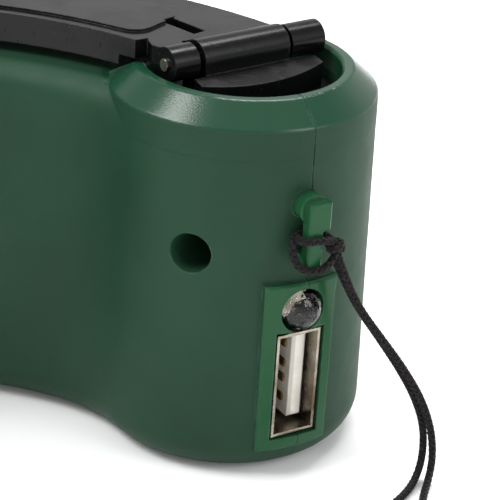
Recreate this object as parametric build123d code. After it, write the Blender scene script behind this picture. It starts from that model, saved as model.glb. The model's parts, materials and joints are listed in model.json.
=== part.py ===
"""Hand crank phone charger: a crescent hand grip with a folding crank, a gear train and a generator inside.

Millimetres. The pieces are drawn in the head's frame: the hub axis is Z, +X points out of the socket end and
-Y is the concave side. place() then turns and moves them all, so that the finished part has its origin under
the middle of the grip, +X towards the socket end, the concave side to -Y and the crank on top.
"""

import os
from math import acos, atan2, cos, degrees, radians, sin, sqrt, tan

from build123d import *

# ---- crescent body, seen from above ----
ARC_R = 55.0  # crescent's centre to the hub axis and to the parting line of the two shells
TIP_TURN = 16.4  # degrees from the crescent's tangent at the hub to the socket face's normal
GRIP_INNER_R = 41.1
GRIP_OUTER_R = 66.9
GRIP_HALF_ANGLE = 53.0  # degrees round the crescent from the hub to the middle of the grip
TAIL_ANGLE = 109.0  # degrees from the hub to the centre of the round tail
HEAD_TOP_R = 15.4
HEAD_BASE_R = 16.2
INNER_BLEND_R = 16.0
OUTER_BLEND_R = 12.0

# ---- body heights and walls ----
BODY_H = 43.0
BASE_FILLET = 4.4
SHOULDER_FILLET = 3.5
WALL = 2.0
DECK_DROP = 8.5  # the tail's top lies this much lower, to take the knob
DECK_FILLET = 2.5

# ---- round recess and raised collar at the hub ----
RECESS_R = 11.2
RECESS_DEPTH = 3.6  # below the grip's top
RECESS_FLOOR = 2.4
COLLAR_RISE = 2.14  # lip above the grip's top
COLLAR_LIP = 1.3
COLLAR_BASE_DROP = 0.4  # foot of the bevel below the grip's top
COLLAR_HALF_ANGLE = 119.0  # foot of the collar's sloping ends, from +X
COLLAR_END_SLOPE = 42.0
COLLAR_OVERLAP = 0.3  # collar's foot below the shoulder's rounding
COLLAR_PROUD = 0.03
COLLAR_EDGE = 0.45
RIM_CHAMFER = 0.35
PARTING_GAP = 0.08

# ---- socket face: raised frame, window, light ----
SOCKET_Y = -0.5
FRAME_W = 9.2
FRAME_BOTTOM = 3.5
FRAME_TOP = 24.6
FRAME_PROUD = 0.6
FRAME_EDGE = 0.25
USB_H = 13.1
USB_W = 5.7
USB_DEPTH = 14.0
USB_WALL = 0.35
USB_Z = 11.75  # middle of the connector
USB_SET_BACK = 0.5  # connector's mouth behind the frame's face
USB_GAP = 0.25  # window round the connector
TONGUE_T = 1.8
TONGUE_GAP = 0.35
TONGUE_SET_BACK = 1.0
CONTACT_T = 0.2
CONTACT_W = 1.0
CONTACT_PITCH = 2.3
LED_R = 2.5
LED_FLANGE_R = 2.75
LED_Z = 21.2
LED_PROUD = 0.7  # dome past the frame's face
LED_BODY_L = 5.6
LED_GAP = 0.2

# ---- lanyard bar on the socket end ----
BAR_Y = -0.7
BAR_W = 1.9
BAR_T = 1.5
BAR_GAP = 1.25  # cord way behind the bar
BAR_BOTTOM = 27.2
BAR_TOP = 34.8
BAR_ROOT_H = 1.2
BAR_HEAD_H = 3.2
BAR_HEAD_EXTRA = 0.9  # bar's head is this much wider, on the convex side
BAR_BOSS_R = 1.7

# ---- lanyard: a wrist loop of thin round cord, hitched to the bar ----
CORD_D = 0.95
HITCH_Z = 30.6
HITCH_GAP = 0.08
KNOT_R = 1.35
KNOT_AT = (18.4, 1.7, 29.6)
HITCH_LOOP = (
    (18.3, 1.4, 29.2),
    (17.9, 1.1, 26.9),
    (17.2, -1.0, 25.9),
    (17.7, -3.0, 27.0),
    (18.7, -3.2, 29.2),
    (18.9, -1.8, 30.6),
)
# The cord's route from the knot down to the ground, out, round the end of the loop and back to the knot.
CORD_ROUTE = (
    (18.7, 2.2, 28.6),
    (19.3, 3.6, 25.2),
    (20.1, 5.2, 21.8),
    (21.0, 7.5, 18.3),
    (22.0, 10.1, 14.2),
    (22.9, 12.3, 10.2),
    (23.5, 13.7, 6.4),
    (24.3, 13.9, 2.9),
    (25.7, 12.5, 0.8),
    (28.0, 10.1, 0.55),
    (31.2, 7.5, 0.55),
    (35.6, 3.4, 0.55),
    (40.2, -3.4, 0.55),
    (43.8, -12.8, 0.55),
    (46.0, -23.6, 0.55),
    (46.3, -34.8, 0.55),
    (44.2, -44.0, 0.55),
    (38.6, -48.6, 0.55),
    (32.7, -45.9, 0.55),
    (29.8, -38.4, 0.55),
    (29.3, -28.2, 0.55),
    (30.2, -17.6, 0.55),
    (30.5, -8.0, 0.55),
    (29.7, -0.2, 0.55),
    (28.4, 5.2, 0.55),
    (26.5, 9.0, 0.55),
    (24.7, 11.5, 0.8),
    (23.4, 13.1, 2.6),
    (22.6, 13.4, 5.9),
    (22.0, 12.2, 9.7),
    (21.1, 10.1, 13.7),
    (20.1, 7.5, 17.8),
    (19.2, 5.1, 21.4),
    (18.5, 3.3, 24.9),
    (18.1, 1.9, 28.0),
)
LIMP_RADIUS = 3.0  # least bend of the free cord, in diameters

# ---- crank: hub, hinge, arm, knob ----
RUN_GAP = 0.05  # radial clearance of a turning fit
SIDE_GAP = 0.3  # clearance beside and under moving pieces
PIN_H = 3.1  # hinge pin above the grip's top
PIN_X = -0.43
HINGE_TURN = 5.0  # degrees from the head's Y, far end towards the tail
PIN_R = 0.72
PIN_STICK_OUT = 0.3
BARREL_R = 2.2
BARREL_NEAR = -6.4
BARREL_FAR = 5.2
KNUCKLE_R = 2.0
KNUCKLE_NEAR = -10.3
KNUCKLE_FAR = 10.4
HINGE_GAP = 0.6  # between the barrel's ends and the knuckles
HUB_FLANGE_T = 1.8
HUB_PLATE_REACH = 5.1  # front edge of the hub's plate from the axis
HUB_PLATE_NEAR = -8.0
HUB_PLATE_FAR = 8.7
HUB_PLATE_DIP = 0.8  # plate's top below the pin's axis, where it leaves the barrel
HUB_PLATE_SLOPE = 12.0
HUB_SHAFT_R = 3.0
HUB_SQUARE = 4.2
HUB_SCREW_R = 1.0
HUB_SCREW_HEAD_R = 2.2
HUB_SCREW_HEAD_T = 1.0
HUB_SCREW_L = 5.0
HUB_WASHER_R = 4.0
HUB_WASHER_T = 0.5
ARM_INNER_R = 45.6
ARM_OUTER_R = 60.8
ARM_T = 2.2
ARM_LIFT = 0.26  # arm's underside above the collar's lip
ARM_ANGLE = 101.0  # hub to the knob's axis
ARM_EDGE = 0.5
SKIRT_H = 1.2
SKIRT_T = 1.2
SKIRT_CLEAR = 14.0  # skirt's least distance from the hub axis
SKIRT_END = 91.0
PANEL_INNER_R = 47.2
PANEL_OUTER_R = 56.0
PANEL_T = 0.3
PANEL_CORNER = 2.4
PANEL_START = 10.0  # degrees from the hub
PANEL_END = 93.0
SLOT_L = 5.0
SLOT_W = 1.8
SLOT_TURN = 15.0
SLOT_AT = (-6.0, -4.4)
HEEL_X = -4.2  # arm in front of this stays inside the recess's circle
HEEL_LOW_X = -2.9  # low bridge to the far knuckle
HEEL_LOW_T = 1.4
KNOB_R = 6.5
KNOB_WAIST_R = 5.6
KNOB_H = 9.3
KNOB_AXLE_R = 1.5
KNOB_AXLE_HEAD_R = 2.8
KNOB_AXLE_HEAD_T = 1.2
KNOB_CAP_R = 4.2
KNOB_CAP_T = 0.8
RIVET_HEAD_R = 2.3
RIVET_HEAD_T = 0.5

# ---- gear train ----
PRESSURE = 20.0
ADDENDUM = 0.85
DEDENDUM = 1.1
BACKLASH = 0.10
DRIVE_TEETH = 40
DRIVE_MODULE = 0.6
WHEEL_TEETH = 36
PINION_TEETH = 14
FINE_MODULE = 0.5
GEAR_T = 3.0
GEAR_GAP = 0.6
AXLE_R = 1.0
GEAR_HUB_R = 2.4
DRIVE_HUB_R = 5.0
PLATE_T = 1.2
PLATE_GAP = 0.3
PLATE_START = 10.5  # degrees from the hub
PLATE_END = 54.0
PLATE_SIDE_GAP = 0.3
LEDGE_W = 1.2
LEDGE_H = 2.0
LEDGE_ANGLES = (23.5, 49.5)
LEDGE_LENGTH = 3.0
BUSH_R = 4.6
BUSH_FLANGE_R = 5.6
BUSH_FLANGE_T = 0.7

# ---- generator ----
CAN_R = 9.6
CAN_H = 16.5
CAN_WALL = 0.8
CAN_BASE = 3.6
STATOR_TEETH = 6
STATOR_RING = 1.4
STATOR_H = 9.0
STATOR_TOOTH_W = 1.8
AIR_GAP = 0.35
MAGNET_R = 4.2
COIL_T = 0.7
SHAFT_R = 1.0
END_CAP_T = 1.2

# ---- board and its parts ----
BOARD_T = 1.6
BOARD_BOTTOM = 3.0
BOARD_H = 20.0
BOARD_BACK = -8.5
BOARD_FRONT = 12.3
BOARD_SCREWS = ((-6.5, 4.5), (-6.5, 21.2))  # along the board, height
STANDOFF_R = 1.8
CAPACITOR_R = 3.15
CAPACITOR_L = 7.0
INDUCTOR_R = 2.6
INDUCTOR_H = 3.0
CHIP_L = 5.0
CHIP_W = 4.0
CHIP_T = 1.5
DIODE_L = 3.6
DIODE_R = 0.9
WIRE_D = 0.9
WIRE_PITCH = 1.6

# ---- screws ----
CASE_SCREW_R = 1.1
CASE_SCREW_HEAD_R = 2.0
CASE_SCREW_HEAD_T = 1.5
CASE_SCREW_L = 9.0
SCREW_RECESS_R = 2.35
SCREW_BOSS_R = 3.3
SCREW_STEM_R = 2.0
SCREW_SEAT_T = 1.0
SCREW_SEAT = 3.2  # screw's seat from the parting face
SCREW_HOLE_GAP = 0.15
FIT_GAP = 0.02  # radial clearance of a pressed or threaded fit
SMALL_SCREW_R = 0.7
SMALL_SCREW_HEAD_R = 1.3
SMALL_SCREW_HEAD_T = 0.6
HEAD_SCREW_X = 3.4  # where it crosses the parting face
HEAD_SCREW_TURN = 30.0  # degrees from the head's Y
HEAD_SCREW_Z = 27.8
GRIP_SCREWS = ((64.0, 21.5), (102.0, 17.0))  # degrees from the hub, height

# ---- worked out from the sizes above ----
CENTRE_X = ARC_R * sin(radians(TIP_TURN))
CENTRE_Y = -ARC_R * cos(radians(TIP_TURN))
GRIP_MID_R = (GRIP_INNER_R + GRIP_OUTER_R) / 2
COLLAR_TOP = BODY_H + COLLAR_RISE
FLOOR_Z = BODY_H - RECESS_DEPTH
FLOOR_UNDER = FLOOR_Z - RECESS_FLOOR
DECK_Z = BODY_H - DECK_DROP
PIN_Z = BODY_H + PIN_H
ARM_Z = COLLAR_TOP + ARM_LIFT
KNOB_TOP = ARM_Z - SIDE_GAP
KNOB_BASE = KNOB_TOP - KNOB_H
HUB_BASE = FLOOR_Z + SIDE_GAP
HUB_FLANGE_TOP = HUB_BASE + HUB_FLANGE_T
BUSH_BASE = FLOOR_UNDER - BUSH_FLANGE_T
PLATE_TOP_Z = FLOOR_UNDER - PLATE_T - PLATE_GAP
DRIVE_TOP = PLATE_TOP_Z - GEAR_GAP
DRIVE_BASE = DRIVE_TOP - GEAR_T
PLATE_LOW_Z = CAN_BASE + CAN_H
LEVEL_1 = PLATE_LOW_Z + PLATE_T + GEAR_GAP
LEVEL_2 = LEVEL_1 + GEAR_T + GEAR_GAP
DRIVE_PITCH_R = DRIVE_TEETH * DRIVE_MODULE / 2
FIRST_PINION_R = PINION_TEETH * DRIVE_MODULE / 2
WHEEL_PITCH_R = WHEEL_TEETH * FINE_MODULE / 2
FINE_PINION_R = PINION_TEETH * FINE_MODULE / 2
BOARD_Y = SOCKET_Y + USB_W / 2
CAP_HALF = (GRIP_OUTER_R - GRIP_INNER_R) / 2


def head_r(z):
    """Radius of the tapering head at a height."""
    return HEAD_BASE_R + (HEAD_TOP_R - HEAD_BASE_R) * z / BODY_H


FRAME_FACE = head_r(USB_Z) + FRAME_PROUD
USB_MOUTH = FRAME_FACE - USB_SET_BACK


def on_arc(radius, angle, z=0.0):
    """Point at a radius from the crescent's centre, some degrees back from the hub towards the tail."""
    turn = radians(TIP_TURN + angle)
    return Vector(CENTRE_X - radius * sin(turn), CENTRE_Y + radius * cos(turn), z)


def along_arc(chord, radius_from, angle_from, radius_to):
    """Angle of the point on radius_to that lies a straight distance from another point, towards the tail."""
    cosine = (radius_from**2 + radius_to**2 - chord**2) / (2 * radius_from * radius_to)
    return angle_from + degrees(acos(cosine))


FIRST_ANGLE = along_arc(DRIVE_PITCH_R + FIRST_PINION_R, ARC_R, 0.0, GRIP_MID_R)
SECOND_ANGLE = along_arc(WHEEL_PITCH_R + FINE_PINION_R, GRIP_MID_R, FIRST_ANGLE, GRIP_MID_R)
ROTOR_ANGLE = along_arc(WHEEL_PITCH_R + FINE_PINION_R, GRIP_MID_R, SECOND_ANGLE, GRIP_MID_R)


def rod(start, direction, radius, length):
    """Round bar from a point along a direction."""
    base = Plane(origin=start, z_dir=direction)
    return base * Cylinder(radius, length, align=(Align.CENTER, Align.CENTER, Align.MIN))


def post(centre, radius, z_from, z_to):
    """Upright round bar between two heights."""
    middle = Vector(*centre)
    return rod((middle.X, middle.Y, z_from), (0, 0, 1), radius, z_to - z_from)


def block(x, y, z):
    """Box between pairs of limits."""
    size = (x[1] - x[0], y[1] - y[0], z[1] - z[0])
    return Pos((x[0] + x[1]) / 2, (y[0] + y[1]) / 2, (z[0] + z[1]) / 2) * Box(*size)


def slab(face, z_from, z_to):
    """A flat outline raised between two heights."""
    return Pos(0, 0, z_from) * extrude(face, amount=z_to - z_from)


def band(inner, outer, start, end):
    """Flat piece of a ring round the crescent's centre, between two angles from the hub."""
    middle = (start + end) / 2
    edges = [
        ThreePointArc(on_arc(inner, start), on_arc(inner, middle), on_arc(inner, end)),
        Line(on_arc(inner, end), on_arc(outer, end)),
        ThreePointArc(on_arc(outer, end), on_arc(outer, middle), on_arc(outer, start)),
        Line(on_arc(outer, start), on_arc(inner, start)),
    ]
    return make_face(Wire(edges))


def blend(head, grip, radius, side):
    """Arc that joins the head's circle to a grip wall: start on the head, middle, end on the grip."""
    near = head + radius
    far = grip + side * radius
    inwards = (near**2 - far**2 + ARC_R**2) / (2 * ARC_R)
    back = sqrt(near**2 - inwards**2)
    turn = radians(TIP_TURN)
    centre = Vector(inwards * sin(turn) - back * cos(turn), -inwards * cos(turn) - back * sin(turn))
    middle_of_grip = Vector(CENTRE_X, CENTRE_Y)
    start = centre * (head / near)
    end = middle_of_grip + (centre - middle_of_grip) * (grip / far)
    towards = (start - centre) + (end - centre)
    return start, centre + towards.normalized() * radius, end


def crescent(head, inset):
    """Outline of the body seen from above, drawn in from the grip's walls by inset."""
    inner = GRIP_INNER_R + inset
    outer = GRIP_OUTER_R - inset
    out_head, out_mid, out_grip = blend(head, outer, OUTER_BLEND_R + inset, 1)
    in_head, in_mid, in_grip = blend(head, inner, INNER_BLEND_R + inset, -1)
    tail_out = on_arc(outer, TAIL_ANGLE)
    tail_in = on_arc(inner, TAIL_ANGLE)
    tail_centre = on_arc(GRIP_MID_R, TAIL_ANGLE)
    tail_way = (on_arc(GRIP_MID_R, TAIL_ANGLE + 0.01) - tail_centre).normalized()
    edges = [
        ThreePointArc(in_head, Vector(head, 0), out_head),
        ThreePointArc(out_head, out_mid, out_grip),
        ThreePointArc(out_grip, on_arc(outer, TAIL_ANGLE / 2), tail_out),
        ThreePointArc(tail_out, tail_centre + tail_way * (CAP_HALF - inset), tail_in),
        ThreePointArc(tail_in, on_arc(inner, TAIL_ANGLE / 2), in_grip),
        ThreePointArc(in_grip, in_mid, in_head),
    ]
    return make_face(Wire(edges))


def deck_reach():
    """Distance from the hub axis to the step down to the tail's deck."""
    chord = (on_arc((ARM_INNER_R + ARM_OUTER_R) / 2, ARM_ANGLE)).length
    return chord - KNOB_R - 1.2


# ---- housing ----
def crescent_block():
    """Solid crescent with its rounded foot, rounded shoulder and the tail's lower deck."""
    foot = crescent(HEAD_BASE_R, 0)
    top = Pos(0, 0, BODY_H) * crescent(HEAD_TOP_R, 0)
    body = loft([foot, top], ruled=True)
    body = fillet(body.edges().group_by(Axis.Z)[0], BASE_FILLET)
    body = fillet(body.edges().group_by(Axis.Z)[-1], SHOULDER_FILLET)
    far_ring = Circle(3 * ARC_R) - Circle(deck_reach())
    body -= slab(far_ring, DECK_Z, BODY_H + 1)
    deck = body.faces().filter_by(Axis.Z).sort_by(lambda f: abs(f.center().Z - DECK_Z))[0]
    rim = deck.edges().filter_by(lambda e: e.center().length > deck_reach() + 1)
    return fillet(rim, DECK_FILLET)


def turned(points, start, end):
    """Solid swept by a closed outline (radius, height) about the hub axis, between two angles."""
    face = Plane.XZ * make_face(Polyline(*points, close=True))
    return Rot(0, 0, start) * revolve(face, Axis.Z, end - start)


def collar():
    """C-shaped raised ring round the recess, from below the shoulder up, with sloping ends."""
    foot_z = BODY_H - SHOULDER_FILLET - COLLAR_OVERLAP
    bevel_z = BODY_H - COLLAR_BASE_DROP
    points = [
        (RECESS_R - 1, foot_z),
        (head_r(foot_z) + COLLAR_PROUD, foot_z),
        (head_r(bevel_z) + COLLAR_PROUD, bevel_z),
        (RECESS_R + COLLAR_LIP, COLLAR_TOP),
        (RECESS_R - 1, COLLAR_TOP),
    ]
    ring = turned(points, -COLLAR_HALF_ANGLE, COLLAR_HALF_ANGLE)
    reach = 2 * HEAD_BASE_R
    for side in (-1, 1):
        hinge_line = Pos(0, 0, BODY_H) * Rot(0, 0, side * COLLAR_HALF_ANGLE)
        slope = hinge_line * Rot(-side * COLLAR_END_SLOPE, 0, 0)
        ring -= slope * block((0, reach), (-reach, reach), (0, reach))
    outer_edges = ring.edges().filter_by(lambda e: e.center().Z > bevel_z - 0.1).filter_by(GeomType.CIRCLE)
    return fillet(outer_edges.filter_by(lambda e: e.radius > RECESS_R), COLLAR_EDGE)


def lanyard_bar():
    """Upright bar on the socket end, standing off the wall on two roots."""
    wall_x = head_r(BAR_TOP)
    back = wall_x + BAR_GAP
    front = back + BAR_T
    low = BAR_Y - BAR_W / 2
    high = BAR_Y + BAR_W / 2
    bar = block((back, front), (low, high), (BAR_BOTTOM, BAR_TOP))
    bar += block((wall_x - WALL / 2, front), (low, high), (BAR_BOTTOM, BAR_BOTTOM + BAR_ROOT_H))
    bar += block((back, front), (low, high + BAR_HEAD_EXTRA), (BAR_TOP - BAR_HEAD_H, BAR_TOP))
    bar = chamfer(bar.edges().filter_by(Axis.Z).group_by(Axis.X)[-1], BAR_T / 6)
    boss_at = (wall_x - WALL / 2, BAR_Y, BAR_TOP - BAR_BOSS_R / 2)
    bar += rod(boss_at, (1, 0, 0), BAR_BOSS_R, BAR_GAP + WALL / 2 + BAR_T / 3)
    other_shell = block((0, head_r(BAR_BOTTOM) + FIT_GAP), (-PARTING_GAP / 2, BAR_BOSS_R * 2), (0, BODY_H))
    return bar - other_shell


def socket_frame():
    """Raised frame that follows the head's curve round the connector's window."""
    curved = post((0, 0), FRAME_FACE, FRAME_BOTTOM, FRAME_TOP)
    sides = (SOCKET_Y - FRAME_W / 2, SOCKET_Y + FRAME_W / 2)
    frame = curved & block((HEAD_TOP_R / 2, 2 * HEAD_BASE_R), sides, (FRAME_BOTTOM, FRAME_TOP))
    return chamfer(frame.faces().filter_by(GeomType.CYLINDER).sort_by(Axis.X)[-1].edges(), FRAME_EDGE)


def socket_window():
    """Opening for the connector, with the light's round notch above it."""
    sides = (SOCKET_Y - USB_W / 2 - USB_GAP, SOCKET_Y + USB_W / 2 + USB_GAP)
    heights = (USB_Z - USB_H / 2 - USB_GAP, LED_Z - LED_R)
    window = block((HEAD_TOP_R - 2 * WALL, 2 * HEAD_BASE_R), sides, heights)
    notch_start = (HEAD_TOP_R - 2 * WALL, SOCKET_Y, LED_Z)
    return window + rod(notch_start, (1, 0, 0), LED_R + LED_GAP, HEAD_BASE_R)


def screw_places():
    """Where each case screw crosses the parting face, and its direction from concave to convex side."""
    turn = radians(HEAD_SCREW_TURN)
    places = [(Vector(HEAD_SCREW_X, 0, HEAD_SCREW_Z), Vector(-sin(turn), cos(turn), 0))]
    for angle, height in GRIP_SCREWS:
        outwards = on_arc(ARC_R + 1, angle) - on_arc(ARC_R, angle)
        places.append((on_arc(ARC_R, angle, height), outwards))
    return places


def screw_bosses():
    """Bosses through the cavity along the case screws: wide round the recess, slim past the screw's seat."""
    reach = 1.5 * CAP_HALF
    bosses = None
    for place, outwards in screw_places():
        boss = rod(place - outwards * reach, outwards, SCREW_BOSS_R, reach - SCREW_SEAT + SCREW_SEAT_T)
        boss += rod(place - outwards * SCREW_SEAT, outwards, SCREW_STEM_R, SCREW_SEAT + reach)
        bosses = boss if bosses is None else bosses + boss
    return bosses


def screw_holes():
    """Deep recess, shank hole and pilot hole of each case screw."""
    holes = None
    for place, outwards in screw_places():
        seat = place - outwards * SCREW_SEAT
        hole = rod(seat, -outwards, SCREW_RECESS_R, 2 * CAP_HALF)
        hole += rod(seat, outwards, CASE_SCREW_R + SCREW_HOLE_GAP, SCREW_SEAT)
        hole += rod(place, outwards, CASE_SCREW_R + FIT_GAP, CASE_SCREW_L - SCREW_SEAT + 2 * FIT_GAP)
        holes = hole if holes is None else holes + hole
    return holes


def plate_ledges():
    """Short ledges on both grip walls that carry the two gear plates."""
    inner_wall = GRIP_INNER_R + WALL
    outer_wall = GRIP_OUTER_R - WALL
    half = degrees(LEDGE_LENGTH / 2 / GRIP_MID_R)
    ledges = None
    for angle in LEDGE_ANGLES:
        for inner, outer in ((inner_wall - 1, inner_wall + LEDGE_W), (outer_wall - LEDGE_W, outer_wall + 1)):
            for top in (PLATE_LOW_Z, PLATE_TOP_Z):
                face = band(inner, outer, angle - half, angle + half)
                ledge = slab(face, top - LEDGE_H, top)
                ledges = ledge if ledges is None else ledges + ledge
    return ledges


def board_standoffs():
    """Pillars from the convex shell that the circuit board is screwed to."""
    standoffs = None
    for x, z in BOARD_SCREWS:
        pillar = rod((x, BOARD_Y + BOARD_T, z), (0, 1, 0), STANDOFF_R, HEAD_BASE_R)
        standoffs = pillar if standoffs is None else standoffs + pillar
    return standoffs


def board_screw_holes():
    """Pilot holes in the standoffs."""
    holes = None
    for x, z in BOARD_SCREWS:
        hole = rod((x, BOARD_Y, z), (0, 1, 0), SMALL_SCREW_R + FIT_GAP, BOARD_T + 3 * SMALL_SCREW_HEAD_R)
        holes = hole if holes is None else holes + hole
    return holes


def cavity():
    """Space inside the housing, less the bosses, ledges and standoffs that stand in it."""
    space = slab(crescent(HEAD_TOP_R - WALL, WALL), WALL, BODY_H - WALL)
    space -= post((0, 0), RECESS_R + WALL, FLOOR_UNDER, BODY_H)
    far_ring = Circle(3 * ARC_R) - Circle(deck_reach() - WALL)
    space -= slab(far_ring, DECK_Z - WALL, BODY_H)
    return space - screw_bosses() - plate_ledges() - board_standoffs()


def parting(shift):
    """Space on the concave side of the parting face, moved towards the convex side by shift."""
    radius = ARC_R + shift
    corner_x = CENTRE_X - sqrt(radius**2 - (shift - CENTRE_Y) ** 2)
    tip_x = 3 * HEAD_BASE_R
    behind = TAIL_ANGLE + 35
    end = on_arc(radius, behind)
    edges = [
        Line((tip_x, shift), (corner_x, shift)),
        ThreePointArc((corner_x, shift), on_arc(radius, behind / 2), end),
        Line(end, (CENTRE_X, CENTRE_Y)),
        Line((CENTRE_X, CENTRE_Y), (tip_x, CENTRE_Y)),
        Line((tip_x, CENTRE_Y), (tip_x, shift)),
    ]
    return slab(make_face(Wire(edges)), -1, 2 * BODY_H)


def housing():
    """The two shells: concave side, which faces the palm's fingers, and convex side."""
    shell = crescent_block() + collar()
    shell += socket_frame()
    shell -= post((0, 0), RECESS_R, FLOOR_Z, 2 * BODY_H)
    rim_foot = COLLAR_TOP - RIM_CHAMFER
    shell -= Pos(0, 0, rim_foot) * Cone(
        RECESS_R, RECESS_R + 2 * RIM_CHAMFER, 2 * RIM_CHAMFER, align=(Align.CENTER, Align.CENTER, Align.MIN)
    )
    shell -= cavity()
    shell -= post((0, 0), BUSH_R + FIT_GAP, FLOOR_UNDER - 1, BODY_H)
    shell -= socket_window()
    shell -= screw_holes()
    shell -= board_screw_holes()
    front = shell & parting(-PARTING_GAP / 2)
    back = shell - parting(PARTING_GAP / 2)
    return front + lanyard_bar(), back


def case_screws():
    """Pan-headed screws that close the housing."""
    screws = []
    for place, outwards in screw_places():
        seat = place - outwards * SCREW_SEAT
        head = rod(seat, -outwards, CASE_SCREW_HEAD_R, CASE_SCREW_HEAD_T)
        screws.append(head + rod(seat, outwards, CASE_SCREW_R, CASE_SCREW_L))
    return Compound(children=screws)


# ---- gears ----
def involute(angle):
    """Involute function of a pressure angle in radians."""
    return tan(angle) - angle


def gear(teeth, module, phase):
    """Flat outline of a spur gear with involute flanks and one tooth centred at the phase, in degrees."""
    pitch_r = teeth * module / 2
    base_r = pitch_r * cos(radians(PRESSURE))
    root_r = pitch_r - DEDENDUM * module
    tip_r = pitch_r + ADDENDUM * module
    half_tooth = radians(90 / teeth) - BACKLASH / 4 / pitch_r + involute(radians(PRESSURE))
    radii = [base_r, pitch_r, (pitch_r + tip_r) / 2, tip_r]
    if root_r > base_r:
        radii[0] = root_r
    else:
        radii.insert(0, root_r)
    flank = []
    for radius in radii:
        pressure = acos(min(1.0, base_r / max(radius, base_r)))
        flank.append((radius, half_tooth - involute(pressure)))
    points = []
    for tooth in range(teeth):
        middle = radians(phase + tooth * 360 / teeth)
        for radius, half in flank:
            points.append((radius * cos(middle - half), radius * sin(middle - half)))
        for radius, half in reversed(flank):
            points.append((radius * cos(middle + half), radius * sin(middle + half)))
    return make_face(Polyline(*points, close=True))


def bearing_angle(here, there):
    """Direction from one axis to the next, in degrees."""
    return degrees(atan2(there.Y - here.Y, there.X - here.X))


def at(axis, piece):
    """A piece that was drawn round the origin, moved to an upright axis."""
    return Pos(axis.X, axis.Y, 0) * piece


def compound_gear(pinion_teeth, pinion_module, pinion_phase, pinion_z, wheel_phase, wheel_z):
    """Wheel and pinion moulded together round one bore."""
    pinion = slab(gear(pinion_teeth, pinion_module, pinion_phase), *pinion_z)
    wheel = slab(gear(WHEEL_TEETH, FINE_MODULE, wheel_phase), *wheel_z)
    low = PLATE_LOW_Z + PLATE_T + SIDE_GAP
    high = PLATE_TOP_Z - SIDE_GAP
    stem = post((0, 0), GEAR_HUB_R, low, high)
    return pinion + wheel + stem - post((0, 0), AXLE_R + RUN_GAP, low - 1, high + 1)


HUB_AXIS = Vector(0, 0, 0)
FIRST_AXIS = on_arc(GRIP_MID_R, FIRST_ANGLE)
SECOND_AXIS = on_arc(GRIP_MID_R, SECOND_ANGLE)
ROTOR_AXIS = on_arc(GRIP_MID_R, ROTOR_ANGLE)


def drive_gear():
    """Large gear on the crank's square shaft."""
    toothed = slab(gear(DRIVE_TEETH, DRIVE_MODULE, bearing_angle(HUB_AXIS, FIRST_AXIS)), DRIVE_BASE, DRIVE_TOP)
    boss = post((0, 0), DRIVE_HUB_R, DRIVE_BASE, BUSH_BASE - SIDE_GAP)
    half = HUB_SQUARE / 2 + RUN_GAP
    square = block((-half, half), (-half, half), (DRIVE_BASE - 1, BUSH_BASE))
    return toothed + boss - Rot(0, 0, HINGE_TURN) * square


def first_gear():
    """Compound gear driven by the drive gear."""
    pinion_phase = bearing_angle(FIRST_AXIS, HUB_AXIS) + 180 / PINION_TEETH
    wheel_phase = bearing_angle(FIRST_AXIS, SECOND_AXIS)
    pinion_z = (LEVEL_2 + GEAR_T, DRIVE_TOP)
    wheel_z = (LEVEL_2, LEVEL_2 + GEAR_T)
    made = compound_gear(PINION_TEETH, DRIVE_MODULE, pinion_phase, pinion_z, wheel_phase, wheel_z)
    return at(FIRST_AXIS, made)


def second_gear():
    """Compound gear driven by the first one."""
    pinion_phase = bearing_angle(SECOND_AXIS, FIRST_AXIS) + 180 / PINION_TEETH
    wheel_phase = bearing_angle(SECOND_AXIS, ROTOR_AXIS)
    pinion_z = (LEVEL_1 + GEAR_T, LEVEL_2 + GEAR_T)
    wheel_z = (LEVEL_1, LEVEL_1 + GEAR_T)
    made = compound_gear(PINION_TEETH, FINE_MODULE, pinion_phase, pinion_z, wheel_phase, wheel_z)
    return at(SECOND_AXIS, made)


def rotor_pinion():
    """Small gear on the generator's shaft."""
    phase = bearing_angle(ROTOR_AXIS, SECOND_AXIS) + 180 / PINION_TEETH
    toothed = slab(gear(PINION_TEETH, FINE_MODULE, phase), LEVEL_1, LEVEL_1 + GEAR_T)
    return at(ROTOR_AXIS, toothed - post((0, 0), SHAFT_R, LEVEL_1 - 1, LEVEL_1 + GEAR_T + 1))


def gear_axle(axis):
    """Steel axle from the lower gear plate to the upper one."""
    return post(axis, AXLE_R, PLATE_LOW_Z, PLATE_TOP_Z + PLATE_T)


def gear_plate(z):
    """Plate that holds the axles' ends, lying on the housing's ledges."""
    gap = WALL + PLATE_SIDE_GAP
    face = band(GRIP_INNER_R + gap, GRIP_OUTER_R - gap, PLATE_START, PLATE_END)
    plate = slab(face, z, z + PLATE_T)
    for axis in (FIRST_AXIS, SECOND_AXIS):
        plate -= post(axis, AXLE_R + FIT_GAP, z - 1, z + PLATE_T + 1)
    return plate


def generator_screw_places():
    """The two screws that hang the generator from the lower plate."""
    off = (CAN_R + FINE_PINION_R) / 2
    return [on_arc(GRIP_MID_R - off, ROTOR_ANGLE), on_arc(GRIP_MID_R + off, ROTOR_ANGLE)]


def lower_plate():
    """Lower gear plate, with the generator's shaft hole and screw holes."""
    plate = gear_plate(PLATE_LOW_Z)
    plate -= post(ROTOR_AXIS, SHAFT_R + SIDE_GAP, PLATE_LOW_Z - 1, LEVEL_1)
    for place in generator_screw_places():
        plate -= post(place, SMALL_SCREW_R + SCREW_HOLE_GAP, PLATE_LOW_Z - 1, LEVEL_1)
    return plate


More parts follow.
